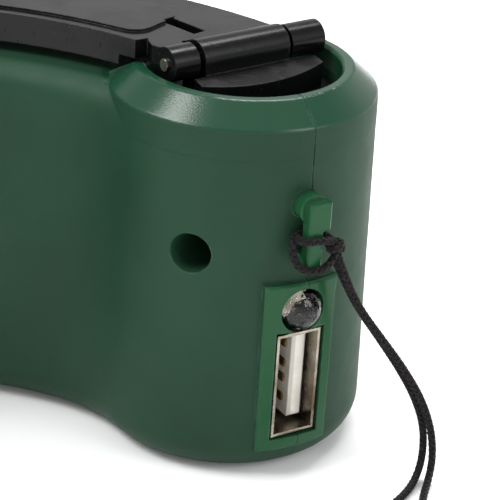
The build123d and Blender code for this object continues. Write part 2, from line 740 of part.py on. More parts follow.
# ---- generator ----
def generator_can():
    """Cup-shaped case, open at the foot."""
    can = post(ROTOR_AXIS, CAN_R, CAN_BASE, PLATE_LOW_Z)
    can -= post(ROTOR_AXIS, CAN_R - CAN_WALL, CAN_BASE - 1, PLATE_LOW_Z - CAN_WALL)
    can -= post(ROTOR_AXIS, SHAFT_R + RUN_GAP, CAN_BASE, PLATE_LOW_Z + 1)
    for place in generator_screw_places():
        can -= post(place, SMALL_SCREW_R + FIT_GAP, CAN_BASE + 1, PLATE_LOW_Z + 1)
    return can


def generator_screws():
    """Two screws from the lower plate into the can."""
    top = PLATE_LOW_Z + PLATE_T
    screws = []
    for place in generator_screw_places():
        shank = post(place, SMALL_SCREW_R, PLATE_LOW_Z - CAN_WALL, top)
        screws.append(shank + post(place, SMALL_SCREW_HEAD_R, top, top + SMALL_SCREW_HEAD_T))
    return Compound(children=screws)


def end_cap():
    """Foot of the generator, with the shaft's lower bearing."""
    cap = post(ROTOR_AXIS, CAN_R, CAN_BASE - END_CAP_T, CAN_BASE)
    return cap - post(ROTOR_AXIS, SHAFT_R + RUN_GAP, CAN_BASE - END_CAP_T + SIDE_GAP, CAN_BASE + 1)


def stator_limits():
    """Heights between which the stator's iron lies, in the middle of the can."""
    middle = (CAN_BASE + PLATE_LOW_Z - CAN_WALL) / 2
    return middle - STATOR_H / 2, middle + STATOR_H / 2


def stator_core():
    """Ring of iron with poles pointing at the magnet."""
    low, high = stator_limits()
    outer = CAN_R - CAN_WALL
    pole_r = MAGNET_R + AIR_GAP
    core = post((0, 0), outer, low, high) - post((0, 0), outer - STATOR_RING, low - 1, high + 1)
    half = STATOR_TOOTH_W / 2
    for pole in range(STATOR_TEETH):
        tooth = block((pole_r - 1, outer - STATOR_RING / 2), (-half, half), (low, high))
        core += Rot(0, 0, pole * 360 / STATOR_TEETH) * tooth
    return at(ROTOR_AXIS, core - post((0, 0), pole_r, low - 1, high + 1))


def stator_coils():
    """One square coil round each pole."""
    low, high = stator_limits()
    inner = MAGNET_R + 3 * AIR_GAP
    outer = CAN_R - CAN_WALL - STATOR_RING - AIR_GAP
    half = STATOR_TOOTH_W / 2
    coils = []
    for pole in range(STATOR_TEETH):
        coil = block((inner, outer), (-half - COIL_T, half + COIL_T), (low - COIL_T, high + COIL_T))
        coil -= block((inner - 1, outer + 1), (-half, half), (low, high))
        coils.append(at(ROTOR_AXIS, Rot(0, 0, pole * 360 / STATOR_TEETH) * coil))
    return Compound(children=coils)


def rotor_shaft():
    """Steel shaft from the end cap's bearing to the pinion."""
    return post(ROTOR_AXIS, SHAFT_R, CAN_BASE - END_CAP_T + 2 * SIDE_GAP, LEVEL_1 + GEAR_T + SIDE_GAP)


def rotor_magnet():
    """Round magnet on the shaft."""
    low, high = stator_limits()
    return post(ROTOR_AXIS, MAGNET_R, low, high) - post(ROTOR_AXIS, SHAFT_R, low - 1, high + 1)


# ---- board ----
def usb_shell():
    """Folded steel shell of the connector, open at the mouth."""
    low, high = USB_Z - USB_H / 2, USB_Z + USB_H / 2
    left, right = SOCKET_Y - USB_W / 2, SOCKET_Y + USB_W / 2
    back = USB_MOUTH - USB_DEPTH
    shell = block((back, USB_MOUTH), (left, right), (low, high))
    t = USB_WALL
    return shell - block((back + t, USB_MOUTH + 1), (left + t, right - t), (low + t, high - t))


def tongue_limits():
    """Width and height limits of the connector's tongue."""
    left = SOCKET_Y - USB_W / 2 + USB_WALL + TONGUE_GAP
    low = USB_Z - USB_H / 2 + USB_WALL + TONGUE_GAP
    high = USB_Z + USB_H / 2 - USB_WALL - TONGUE_GAP
    return (left, left + TONGUE_T), (low, high)


def usb_tongue():
    """Moulded tongue with its block at the back of the shell."""
    sides, heights = tongue_limits()
    back = USB_MOUTH - USB_DEPTH + USB_WALL
    t = USB_WALL
    tongue = block((back, USB_MOUTH - TONGUE_SET_BACK), sides, heights)
    root_y = (SOCKET_Y - USB_W / 2 + t, SOCKET_Y + USB_W / 2 - t)
    root_z = (USB_Z - USB_H / 2 + t, USB_Z + USB_H / 2 - t)
    tongue += block((back, back + 3 * TONGUE_T), root_y, root_z)
    return tongue


def usb_contacts():
    """Four flat contacts on the tongue."""
    sides, _ = tongue_limits()
    back = USB_MOUTH - USB_DEPTH + USB_WALL + 3 * TONGUE_T
    contacts = []
    for number in range(4):
        z = USB_Z + (number - 1.5) * CONTACT_PITCH
        limits = (z - CONTACT_W / 2, z + CONTACT_W / 2)
        contact = block((back, USB_MOUTH - 2 * TONGUE_SET_BACK), (sides[1], sides[1] + CONTACT_T), limits)
        contacts.append(contact)
    return Compound(children=contacts)


def led():
    """Clear round light with its flange and two legs that bend to the board."""
    dome_x = FRAME_FACE + LED_PROUD - LED_R
    body_x = dome_x - LED_BODY_L
    lamp = rod((body_x, SOCKET_Y, LED_Z), (1, 0, 0), LED_R, LED_BODY_L)
    lamp += Pos(dome_x, SOCKET_Y, LED_Z) * Sphere(LED_R)
    lamp += rod((body_x, SOCKET_Y, LED_Z), (1, 0, 0), LED_FLANGE_R, 1.0)
    for side in (-1, 1):
        z = LED_Z + side * 1.27
        heights = (z - 0.25, z + 0.25)
        lamp += block((body_x - 1.5, body_x + 1), (SOCKET_Y - 0.25, SOCKET_Y + 0.25), heights)
        lamp += block((body_x - 1.5, body_x - 1.0), (SOCKET_Y - 0.25, BOARD_Y), heights)
    return lamp


def circuit_board():
    """Upright board behind the connector."""
    board = block((BOARD_BACK, BOARD_FRONT), (BOARD_Y, BOARD_Y + BOARD_T), (BOARD_BOTTOM, BOARD_BOTTOM + BOARD_H))
    for x, z in BOARD_SCREWS:
        board -= rod((x, BOARD_Y - 1, z), (0, 1, 0), SMALL_SCREW_R + SCREW_HOLE_GAP, BOARD_T + 2)
    return board


def board_screws():
    """Two screws that hold the board to its standoffs."""
    screws = []
    for x, z in BOARD_SCREWS:
        shank = rod((x, BOARD_Y, z), (0, 1, 0), SMALL_SCREW_R, BOARD_T + 2 * SMALL_SCREW_HEAD_R)
        screws.append(shank + rod((x, BOARD_Y, z), (0, -1, 0), SMALL_SCREW_HEAD_R, SMALL_SCREW_HEAD_T))
    return Compound(children=screws)


def capacitor():
    """Round smoothing capacitor, lying on the board behind the connector."""
    start = (BOARD_BACK + SIDE_GAP, BOARD_Y - CAPACITOR_R, BOARD_BOTTOM + 2.1 * CAPACITOR_R)
    return rod(start, (1, 0, 0), CAPACITOR_R, CAPACITOR_L)


def inductor():
    """Drum inductor of the voltage converter."""
    centre = (BOARD_BACK + 4, BOARD_Y, BOARD_BOTTOM + BOARD_H * 0.68)
    drum = rod(centre, (0, -1, 0), INDUCTOR_R, INDUCTOR_H)
    waist_start = (centre[0], BOARD_Y - INDUCTOR_H / 4, centre[2])
    groove = rod(waist_start, (0, -1, 0), 2 * INDUCTOR_R, INDUCTOR_H / 2)
    return drum - (groove - rod(waist_start, (0, -1, 0), 0.75 * INDUCTOR_R, INDUCTOR_H / 2))


def regulator():
    """Converter chip on the board's other face."""
    face = BOARD_Y + BOARD_T
    middle = BOARD_BOTTOM + BOARD_H / 2
    return block((0, CHIP_L), (face, face + CHIP_T), (middle, middle + CHIP_W))


def rectifier_diodes():
    """Six diodes that turn the generator's three phases into direct current."""
    diodes = []
    for number in range(6):
        column, row = divmod(number, 3)
        start = (BOARD_BACK + 4.5 + column * 5, BOARD_Y + BOARD_T + DIODE_R, BOARD_BOTTOM + 1.5 + row * 2.4)
        diodes.append(rod(start, (1, 0, 0), DIODE_R, DIODE_L))
    return Compound(children=diodes)


def generator_leads():
    """Three insulated wires from the generator to the board's end."""
    towards = (HUB_AXIS - ROTOR_AXIS).normalized()
    side = Vector(-towards.Y, towards.X)
    start = ROTOR_AXIS + towards * CAN_R
    end = Vector(BOARD_BACK, BOARD_Y + BOARD_T / 2)
    middle_z = BOARD_BOTTOM + BOARD_H / 2
    leads = []
    for number in range(3):
        lift = Vector(0, 0, middle_z + (number - 1) * WIRE_PITCH)
        first_bend = start + towards * 5
        last_bend = end - Vector(4, 0)
        middle = (first_bend + last_bend) / 2 - side * 1.5
        points = [p + lift for p in (start, first_bend, middle, last_bend, end)]
        path = FilletPolyline(*points, radius=4 * WIRE_D)
        profile = Plane(origin=path @ 0, z_dir=path % 0) * Circle(WIRE_D / 2)
        leads.append(sweep(profile, path=path))
    return Compound(children=leads)


# ---- crank ----
def pin_plane(y):
    """Point on the hinge pin's axis."""
    return (PIN_X, y, PIN_Z)


def hub_bush():
    """Flanged bearing bush in the recess's floor."""
    bush = post((0, 0), BUSH_R, BUSH_BASE, FLOOR_Z)
    bush += post((0, 0), BUSH_FLANGE_R, BUSH_BASE, FLOOR_UNDER)
    return bush - post((0, 0), HUB_SHAFT_R + RUN_GAP, BUSH_BASE - 1, FLOOR_Z + 1)


def hub_plate():
    """Sloping plate with a curved front edge, in front of the barrel."""
    reach = HUB_PLATE_REACH
    start_z = PIN_Z - HUB_PLATE_DIP
    front_z = start_z - (reach - PIN_X) * tan(radians(HUB_PLATE_SLOPE))
    side = Polyline(
        (PIN_X, HUB_FLANGE_TOP - 0.5),
        (reach, HUB_FLANGE_TOP - 0.5),
        (reach, front_z),
        (PIN_X, start_z),
        close=True,
    )
    wedge = Plane.XZ * extrude(make_face(side), amount=RECESS_R, both=True)
    heel = PIN_X + KNUCKLE_R + SIDE_GAP
    corner_x = 0.68 * reach
    edges = [
        Line((heel, HUB_PLATE_NEAR), (heel, HUB_PLATE_FAR)),
        Line((heel, HUB_PLATE_FAR), (corner_x, HUB_PLATE_FAR)),
        ThreePointArc((corner_x, HUB_PLATE_FAR), (reach, 0), (corner_x, HUB_PLATE_NEAR)),
        Line((corner_x, HUB_PLATE_NEAR), (heel, HUB_PLATE_NEAR)),
    ]
    outline = slab(make_face(Wire(edges)), HUB_BASE, PIN_Z)
    outline += block((PIN_X, heel), (BARREL_NEAR, BARREL_FAR), (HUB_BASE, PIN_Z))
    return wedge & outline


def crank_hub():
    """Turning hub: flange in the recess, hinge barrel on its web, front plate, shaft and square."""
    hub = post((0, 0), RECESS_R - SIDE_GAP, HUB_BASE, HUB_FLANGE_TOP)
    web_x = (PIN_X - BARREL_R, PIN_X + BARREL_R)
    hub += block(web_x, (BARREL_NEAR, BARREL_FAR), (HUB_BASE, PIN_Z))
    hub += rod(pin_plane(BARREL_NEAR), (0, 1, 0), BARREL_R, BARREL_FAR - BARREL_NEAR)
    hub += hub_plate()
    hub += post((0, 0), HUB_SHAFT_R, BUSH_BASE - SIDE_GAP, HUB_BASE)
    half = HUB_SQUARE / 2
    hub += block((-half, half), (-half, half), (DRIVE_BASE + SIDE_GAP, BUSH_BASE))
    hub -= rod(pin_plane(BARREL_NEAR - 1), (0, 1, 0), PIN_R + RUN_GAP, BARREL_FAR - BARREL_NEAR + 2)
    hub -= post((0, 0), HUB_SCREW_R + FIT_GAP, DRIVE_BASE - 1, DRIVE_BASE + HUB_SCREW_L + SIDE_GAP)
    return Rot(0, 0, HINGE_TURN) * hub


def hub_washer():
    """Washer that keeps the drive gear on the square."""
    low = DRIVE_BASE - HUB_WASHER_T
    return post((0, 0), HUB_WASHER_R, low, DRIVE_BASE) - post((0, 0), HUB_SCREW_R + SCREW_HOLE_GAP, low - 1, low + 2)


def hub_screw():
    """Screw into the foot of the hub's shaft."""
    under = DRIVE_BASE - HUB_WASHER_T
    screw = post((0, 0), HUB_SCREW_HEAD_R, under - HUB_SCREW_HEAD_T, under)
    return screw + post((0, 0), HUB_SCREW_R, under, DRIVE_BASE + HUB_SCREW_L)


def arm_tip():
    """Axis of the knob."""
    return on_arc((ARM_INNER_R + ARM_OUTER_R) / 2, ARM_ANGLE)


def arm_outline():
    """Crescent arm seen from above, up to its heel by the hinge."""
    plan = band(ARM_INNER_R, ARM_OUTER_R, -10, ARM_ANGLE)
    plan &= Pos(HEEL_X - 2 * ARC_R, 0) * Rectangle(4 * ARC_R, 8 * ARC_R)
    tip = arm_tip()
    return plan + Pos(tip.X, tip.Y) * Circle((ARM_OUTER_R - ARM_INNER_R) / 2)


def arm_heel():
    """Arm's end at the hinge: full height as far as the band goes, then a low bridge to the far knuckle."""
    circle = Circle(RECESS_R - SIDE_GAP)
    face = band(ARM_INNER_R, ARM_OUTER_R, -10, ARM_ANGLE) & circle
    face &= Rectangle(-2 * HEEL_X, 4 * RECESS_R) & Rot(0, 0, HINGE_TURN) * Pos(PIN_X - ARC_R, 0) * Rectangle(2 * ARC_R, ARC_R)
    bridge = Pos((HEEL_LOW_X + PIN_X) / 2, (KNUCKLE_NEAR + KNUCKLE_FAR) / 2) * Rectangle(
        PIN_X - HEEL_LOW_X, KNUCKLE_FAR - KNUCKLE_NEAR
    )
    low = (Rot(0, 0, HINGE_TURN) * bridge) & circle
    return slab(face, ARM_Z, ARM_Z + ARM_T) + slab(low, ARM_Z, ARM_Z + HEEL_LOW_T)


def arm_panel():
    """Long raised panel with rounded corners on the arm's top."""
    panel = band(PANEL_INNER_R, PANEL_OUTER_R, PANEL_START, PANEL_END)
    return fillet(panel.vertices(), PANEL_CORNER)


def arm_skirt():
    """Low wall round the arm's underside, clear of the collar and the knob."""
    outer = band(ARM_INNER_R, ARM_OUTER_R, 0, SKIRT_END) - Circle(SKIRT_CLEAR)
    turn = degrees(SKIRT_T / GRIP_MID_R)
    inner = band(ARM_INNER_R + SKIRT_T, ARM_OUTER_R - SKIRT_T, -turn, SKIRT_END - turn)
    return slab(outer - inner, ARM_Z - SKIRT_H, ARM_Z)


def hinge_gap():
    """Room in the arm for the hub's barrel, with the relief slot beside its near end."""
    near = BARREL_NEAR - HINGE_GAP
    far = BARREL_FAR + HINGE_GAP
    gap_r = BARREL_R + SIDE_GAP
    gap = rod(pin_plane(near), (0, 1, 0), gap_r, far - near)
    gap += block((PIN_X - gap_r, KNUCKLE_R), (near, far), (ARM_Z - 1, PIN_Z))
    slot = Pos(*SLOT_AT, ARM_Z) * Rot(0, 0, SLOT_TURN) * Box(SLOT_L, SLOT_W, 4 * ARM_T)
    return Rot(0, 0, HINGE_TURN) * gap + slot


def crank_arm():
    """Folding arm with its two knuckles, raised panel and skirt."""
    top = ARM_Z + ARM_T
    arm = slab(arm_outline(), ARM_Z, top) + arm_heel()
    arm += slab(arm_panel(), top - ARM_EDGE, top + PANEL_T)
    arm += arm_skirt()
    arm -= hinge_gap()
    near = BARREL_NEAR - HINGE_GAP
    far = BARREL_FAR + HINGE_GAP
    knuckles = rod(pin_plane(KNUCKLE_NEAR), (0, 1, 0), KNUCKLE_R, near - KNUCKLE_NEAR)
    knuckles += rod(pin_plane(far), (0, 1, 0), KNUCKLE_R, KNUCKLE_FAR - far)
    arm += Rot(0, 0, HINGE_TURN) * knuckles
    pin_hole = rod(pin_plane(KNUCKLE_NEAR - 1), (0, 1, 0), PIN_R + FIT_GAP, KNUCKLE_FAR - KNUCKLE_NEAR + 2)
    arm -= Rot(0, 0, HINGE_TURN) * pin_hole
    return arm - post(arm_tip(), RIVET_HEAD_R / 2 + FIT_GAP, ARM_Z - 1, top + 1)


def hinge_pin():
    """Steel pin through both knuckles and the barrel."""
    start = KNUCKLE_NEAR - PIN_STICK_OUT
    pin = rod(pin_plane(start), (0, 1, 0), PIN_R, KNUCKLE_FAR - KNUCKLE_NEAR + 2 * PIN_STICK_OUT)
    return Rot(0, 0, HINGE_TURN) * pin


def knob_axle():
    """Shouldered rivet that carries the knob under the arm's tip."""
    head_z = KNOB_BASE + KNOB_CAP_T + SIDE_GAP
    top = ARM_Z + ARM_T
    axle = post((0, 0), KNOB_AXLE_HEAD_R, head_z, head_z + KNOB_AXLE_HEAD_T)
    axle += post((0, 0), KNOB_AXLE_R, head_z, ARM_Z)
    axle += post((0, 0), RIVET_HEAD_R / 2, ARM_Z, top)
    axle += post((0, 0), RIVET_HEAD_R, top, top + RIVET_HEAD_T)
    return at(arm_tip(), axle)


def crank_knob():
    """Waisted finger knob that turns on the rivet."""
    middle_z = (KNOB_BASE + KNOB_TOP) / 2
    edge = KNOB_R - KNOB_WAIST_R
    bore = KNOB_AXLE_R + RUN_GAP
    outline = [
        Line((0, KNOB_BASE), (KNOB_R - edge, KNOB_BASE)),
        Line((KNOB_R - edge, KNOB_BASE), (KNOB_R, KNOB_BASE + edge)),
        ThreePointArc((KNOB_R, KNOB_BASE + edge), (KNOB_WAIST_R, middle_z), (KNOB_R, KNOB_TOP - edge)),
        Line((KNOB_R, KNOB_TOP - edge), (KNOB_R - edge, KNOB_TOP)),
        Line((KNOB_R - edge, KNOB_TOP), (0, KNOB_TOP)),
        Line((0, KNOB_TOP), (0, KNOB_BASE)),
    ]
    knob = revolve(Plane.XZ * make_face(Wire(outline)), Axis.Z, 360)
    head_top = KNOB_BASE + KNOB_CAP_T + 2 * SIDE_GAP + KNOB_AXLE_HEAD_T
    knob -= post((0, 0), bore, KNOB_BASE - 1, KNOB_TOP + 1)
    knob -= post((0, 0), KNOB_AXLE_HEAD_R + SIDE_GAP, KNOB_BASE, head_top)
    return at(arm_tip(), knob - post((0, 0), KNOB_CAP_R + FIT_GAP, KNOB_BASE - 1, KNOB_BASE + KNOB_CAP_T))


def knob_cap():
    """Flat disc that closes the knob over the rivet's head."""
    return post(arm_tip(), KNOB_CAP_R, KNOB_BASE, KNOB_BASE + KNOB_CAP_T)


# ---- lanyard ----
def bend_radii(points):
    """Radius at each inner point of a route: 0.45 of the shorter run over the tangent of half the turn."""
    radii = []
    for before, here, after in zip(points, points[1:], points[2:]):
        run_in = Vector(*here) - Vector(*before)
        run_out = Vector(*after) - Vector(*here)
        half_turn = radians(run_in.get_angle(run_out)) / 2
        radii.append(0.45 * min(run_in.length, run_out.length) / tan(half_turn))
    return radii


def tube(points, diameter):
    """Round tube along straight runs joined by tangent arcs."""
    path = FilletPolyline(*points, radius=bend_radii(points))
    profile = Plane(origin=path @ 0, z_dir=path % 0) * Circle(diameter / 2)
    return sweep(profile, path=path), path.length


def lanyard_knot():
    """Turn of cord round the bar, the loop that hangs under it and the knot beside it."""
    behind = head_r(HITCH_Z) + BAR_GAP / 2
    front = head_r(BAR_TOP) + BAR_GAP + BAR_T + CORD_D / 2 + HITCH_GAP
    low = BAR_Y - BAR_W / 2 - CORD_D / 2 - HITCH_GAP
    high = BAR_Y + BAR_W / 2 + CORD_D / 2 + HITCH_GAP
    turn_path = Pos((behind + front) / 2, (low + high) / 2, HITCH_Z) * RectangleRounded(
        front - behind, high - low, CORD_D
    )
    wire = turn_path.face().outer_wire()
    ring = sweep(Plane(origin=wire @ 0, z_dir=wire % 0) * Circle(CORD_D / 2), path=wire)
    loop, _ = tube(HITCH_LOOP, CORD_D)
    return ring + loop + Pos(*KNOT_AT) * Sphere(KNOT_R)


def lanyard_cord():
    """Free wrist loop of cord, from the knot to the ground and back."""
    cord, length = tube(CORD_ROUTE, CORD_D)
    radii = bend_radii(CORD_ROUTE)
    section = 3.14159 * CORD_D**2 / 4
    print(f"cord: {length:.1f} mm long, volume {cord.volume:.1f}, section times length {section * length:.1f}")
    print(f"cord bend radii, least {min(radii) / CORD_D:.1f} diameters (wanted {LIMP_RADIUS}):")
    print(" ".join(f"{radius:.1f}" for radius in radii))
    return cord - lanyard_knot()


def place(piece):
    """From the head's frame to the part's own frame."""
    grip = radians(GRIP_HALF_ANGLE)
    hub = Pos(ARC_R * sin(grip), ARC_R * cos(grip) - GRIP_MID_R, 0)
    return hub * Rot(0, 0, -TIP_TURN - GRIP_HALF_ANGLE) * piece


def pieces():
    """Every piece of the charger by name, in the head's frame."""
    front, back = housing()
    return {
        "housing_front": front,
        "housing_back": back,
        "case_screws": case_screws(),
        "hub_bush": hub_bush(),
        "gear_plate_lower": lower_plate(),
        "gear_plate_upper": gear_plate(PLATE_TOP_Z),
        "first_gear_axle": gear_axle(FIRST_AXIS),
        "second_gear_axle": gear_axle(SECOND_AXIS),
        "generator_can": generator_can(),
        "generator_end_cap": end_cap(),
        "generator_screws": generator_screws(),
        "stator_core": stator_core(),
        "stator_coils": stator_coils(),
        "circuit_board": circuit_board(),
        "board_screws": board_screws(),
        "usb_shell": usb_shell(),
        "usb_tongue": usb_tongue(),
        "usb_contacts": usb_contacts(),
        "led": led(),
        "capacitor": capacitor(),
        "inductor": inductor(),
        "regulator": regulator(),
        "rectifier_diodes": rectifier_diodes(),
        "generator_leads": generator_leads(),
        "crank_hub": crank_hub(),
        "drive_gear": drive_gear(),
        "hub_washer": hub_washer(),
        "hub_screw": hub_screw(),
        "crank_arm": crank_arm(),
        "hinge_pin": hinge_pin(),
        "knob_axle": knob_axle(),
        "crank_knob": crank_knob(),
        "knob_cap": knob_cap(),
        "first_gear": first_gear(),
        "second_gear": second_gear(),
        "rotor_shaft": rotor_shaft(),
        "rotor_magnet": rotor_magnet(),
        "rotor_pinion": rotor_pinion(),
        "lanyard_knot": lanyard_knot(),
        "lanyard_cord": lanyard_cord(),
    }


if __name__ == "__main__":
    os.makedirs("parts", exist_ok=True)
    for name, piece in pieces().items():
        export_step(place(piece), f"parts/{name}.step")
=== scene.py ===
"""Hand crank phone charger: camera, braided wrist cord, lamp, socket's tongue, finishes, floor and light.

Lengths are in metres, and places are in the part's frame unless they are said to be in the head's frame.
"""
import json
from math import ceil, cos, pi, radians, sin

import bpy
from mathutils import Matrix, Vector


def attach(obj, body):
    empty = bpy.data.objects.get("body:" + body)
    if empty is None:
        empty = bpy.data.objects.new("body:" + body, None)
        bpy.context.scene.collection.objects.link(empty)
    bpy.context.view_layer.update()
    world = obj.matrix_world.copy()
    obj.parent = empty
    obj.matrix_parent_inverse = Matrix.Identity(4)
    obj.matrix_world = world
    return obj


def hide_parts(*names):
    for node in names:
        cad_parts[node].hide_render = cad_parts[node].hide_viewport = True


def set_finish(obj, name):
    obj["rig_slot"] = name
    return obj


MM = 0.001

# ---- the head's own frame: hub axis upright, +X out of the socket end, -Y the concave side ----
ARC_R = 55.0 * MM
GRIP_MID_R = 54.0 * MM
TIP_TURN = radians(16.4)
GRIP_HALF_ANGLE = radians(53.0)
HUB = Vector((ARC_R * sin(GRIP_HALF_ANGLE), ARC_R * cos(GRIP_HALF_ANGLE) - GRIP_MID_R, 0))
HEAD_TURN = -(TIP_TURN + GRIP_HALF_ANGLE)

# ---- camera, solved from the socket and the round head ----
CAMERA_YAW = radians(-32.75)  # from the head's +X towards its concave side
CAMERA_PITCH = radians(25.79)
CAMERA_ROLL = radians(3.75)
CAMERA_DISTANCE = 235.72 * MM
CAMERA_AIM = (2.209 * MM, 1.123 * MM)  # aim point right of and above the hub axis
CAMERA_AIM_HEIGHT = 20 * MM
CAMERA_LENS = 144.0
CAMERA_SENSOR = 36.0
CAMERA_CLIP = 0.01

# ---- wrist cord, points in the head's frame ----
ROUTE_ORDER = 3
ROUTE_RESOLUTION = 16
CORD_DIAMETER = 0.95 * MM
CORD_ROUTE_MM = (
    (18.6, 2.0, 28.6),
    (19.1, 3.2, 25.2),
    (19.8, 4.8, 21.8),
    (20.8, 7.2, 18.3),
    (22.0, 10.0, 14.2),
    (22.9, 12.3, 10.2),
    (23.5, 13.7, 6.4),
    (24.3, 13.9, 2.9),
    (25.7, 12.5, 0.8),
    (28.0, 10.1, 0.55),
    (31.2, 7.5, 0.55),
    (35.6, 3.4, 0.55),
    (40.2, -3.4, 0.55),
    (43.8, -12.8, 0.55),
    (46.0, -23.6, 0.55),
    (46.3, -34.8, 0.55),
    (44.2, -44.0, 0.55),
    (38.6, -48.6, 0.55),
    (32.7, -45.9, 0.55),
    (29.8, -38.4, 0.55),
    (29.3, -28.2, 0.55),
    (30.2, -17.6, 0.55),
    (30.5, -8.0, 0.55),
    (29.7, -0.2, 0.55),
    (28.4, 5.2, 0.55),
    (26.5, 9.0, 0.55),
    (24.7, 11.5, 0.8),
    (23.4, 13.1, 2.6),
    (22.6, 13.4, 5.9),
    (22.0, 12.2, 9.7),
    (21.1, 10.1, 13.7),
    (20.1, 7.5, 17.8),
    (19.2, 5.1, 21.4),
    (18.5, 3.3, 24.9),
    (18.1, 1.9, 28.0),
)
HITCH_ROUTE_MM = (  # one turn round the lanyard bar, from the knot back into the knot
    (18.3, 1.8, 29.9),
    (18.1, 1.0, 30.6),
    (16.4, 0.9, 30.7),
    (15.7, 0.3, 30.6),
    (15.7, -1.6, 30.5),
    (16.4, -2.3, 30.5),
    (18.2, -2.3, 30.7),
    (18.7, -1.5, 30.8),
    (18.7, 0.4, 30.7),
    (18.5, 1.6, 30.1),
)
LOOP_ROUTE_MM = (  # loose loop that hangs under the turn, from the knot to the turn's far side
    (18.5, 2.0, 29.5),
    (18.9, 1.4, 28.4),
    (18.9, 0.1, 27.3),
    (18.5, -1.4, 27.0),
    (17.9, -2.7, 27.7),
    (17.4, -3.1, 29.0),
    (16.9, -2.9, 30.1),
    (16.4, -2.4, 30.4),
)
KNOT_MM = (18.4, 1.7, 29.6)
KNOT_COIL_R = 0.72 * MM
KNOT_TURNS = 1.75
KNOT_RISE = 0.7 * MM
KNOT_POINTS = 15

# ---- braid ----
BRAID_STRANDS = 4  # running each way
BRAID_PITCH = 2.9 * MM
BRAID_STEP = 0.12 * MM
BRAID_CORE = 0.8  # core's share of the cord's radius
STRAND_W = 0.22 * MM
STRAND_T = 0.09 * MM
STRAND_LIFT = 0.05 * MM
CORE_SIDES = 10

# ---- lamp, in the head's frame ----
SOCKET_Y = -0.5 * MM
LAMP_Z = 21.2 * MM
LAMP_R = 2.5 * MM
LAMP_FLANGE_R = 2.75 * MM
LAMP_FLANGE_T = 1.0 * MM
LAMP_BACK_X = 9.3 * MM
LAMP_DOME_X = 15.6 * MM  # where the dome starts
DOME_STEPS = 12
CUP_X = 14.2 * MM
CUP_R = 1.05 * MM
CUP_DEPTH = 0.75 * MM
CUP_PROFILE = ((-1.0, 0.45), (0.0, 1.0), (0.0, 1.12), (-1.4, 0.8))  # shares of its depth and of its radius
CUP_POST = (-0.1 * MM, 1.5 * MM)  # its middle above the lamp's axis, and its width
SIDE_POST = (1.75 * MM, 0.7 * MM)
POST_FOOT_X = 10.4 * MM
POST_FOOT_L = 1.2 * MM
POST_FOOT_SHARE = 0.6
POST_TIP_L = 0.3 * MM
POST_TIP_SHARE = 0.7
POST_T = 0.45 * MM
LEG_LENGTH = 1.4 * MM
LEG_OFFSET = 1.27 * MM
LEG_W = 0.5 * MM
LEG_GAP = 0.05 * MM  # between the legs and the lens
ROUND_SIDES = 40

# ---- socket's tongue and contacts, in the head's frame ----
MOUTH_X = 16.08 * MM  # connector's mouth
SOCKET_Z = 11.75 * MM
TONGUE_Y = 0.82 * MM  # its middle, on the side away from the fingers
TONGUE_T = 1.84 * MM
TONGUE_H = 11.1 * MM
TONGUE_L = 8.9 * MM
TONGUE_SET_BACK = 1.7 * MM
TONGUE_CHAMFER = 0.35 * MM
BLOCK_L = 2.9 * MM  # moulding at the socket's back, which carries the tongue
BLOCK_HALF_W = 2.4 * MM
BLOCK_HALF_H = 6.1 * MM
CONTACT_HEIGHTS = (-3.5 * MM, -1.0 * MM, 1.0 * MM, 3.5 * MM)
CONTACT_W = 1.0 * MM
CONTACT_T = 0.2 * MM
CONTACT_SINK = CONTACT_T / 4  # depth in the tongue
CONTACT_SET_BACK = 1.2 * MM  # noses behind the tongue's tip

# ---- polished parts of the shell: from no polish to full polish ----
COLLAR_FOOT_Z = (42.4 * MM, 42.6 * MM)
COLLAR_OUT = (16.0 * MM, 15.8 * MM)  # distance from the hub's axis
SOCKET_SIDE_OUT = (16.25 * MM, 16.35 * MM)
SOCKET_SIDE_X = (8 * MM, 9 * MM)
SEAM_BAND_Z = ((38.0 * MM, 38.5 * MM), (41.0 * MM, 40.5 * MM))  # where edges aren't rubbed

# ---- floor and light ----
FLOOR_SIZE = 4.0
FLOOR_CLOUD = 0.6
LAMP_DISTANCE = 0.8
AIM = Vector((0.03, -0.015, 0.022))
LAMPS = (  # name, turn from the camera's side, elevation, width, height, power
    ("key", -75, 52, 0.35, 0.35, 4.6),
    ("fill", 62, 36, 0.3, 0.5, 1.9),
    ("top", 165, 64, 0.5, 0.26, 5.4),
)
# Sky from the horizon to the zenith, each a height and a brightness: pale backdrop, dim wall, bright ceiling.
SKY = ((0.0, 0.8), (0.2, 0.85), (0.35, 0.95), (0.6, 0.6), (0.75, 0.35), (1.0, 0.85))


def srgb(red, green, blue):
    """A colour as it shows on screen, 0 to 255, in linear light."""
    return tuple(((shade / 255 + 0.055) / 1.055) ** 2.4 for shade in (red, green, blue))


GREEN = srgb(29, 61, 43)
GREEN_SHADE = srgb(26, 56, 39)
GREEN_POLISHED = srgb(16, 58, 38)
GREEN_FRAME = srgb(26, 74, 44)
GREEN_RUBBED = srgb(52, 92, 70)
BLACK = srgb(12, 12, 13)
BLACK_RUBBED = srgb(60, 59, 61)
DUST = srgb(70, 67, 65)
STEEL = srgb(182, 180, 176)
NICKEL = srgb(158, 152, 140)
DULL = srgb(120, 112, 100)
NICKEL_WORN = srgb(112, 98, 80)
GOLD = srgb(150, 124, 84)
GOLD_WORN = srgb(112, 90, 62)
BRASS = srgb(196, 160, 92)
BRASS_WORN = srgb(150, 116, 66)
IRON = srgb(84, 84, 88)
RUST = srgb(96, 66, 48)
COPPER = srgb(170, 84, 44)
# painted shade: darker copper for the grooves between the coil's turns
COPPER_GROOVE_SHADE = srgb(84, 34, 18)
WHITE_PLASTIC = srgb(226, 223, 214)
WHITE_SHADE = srgb(212, 206, 194)
NYLON = srgb(214, 210, 198)
NYLON_SHADE = srgb(198, 190, 170)
MAGNET = srgb(58, 58, 62)
MAGNET_SHADE = srgb(76, 72, 70)
PART_BLACK = srgb(32, 32, 34)
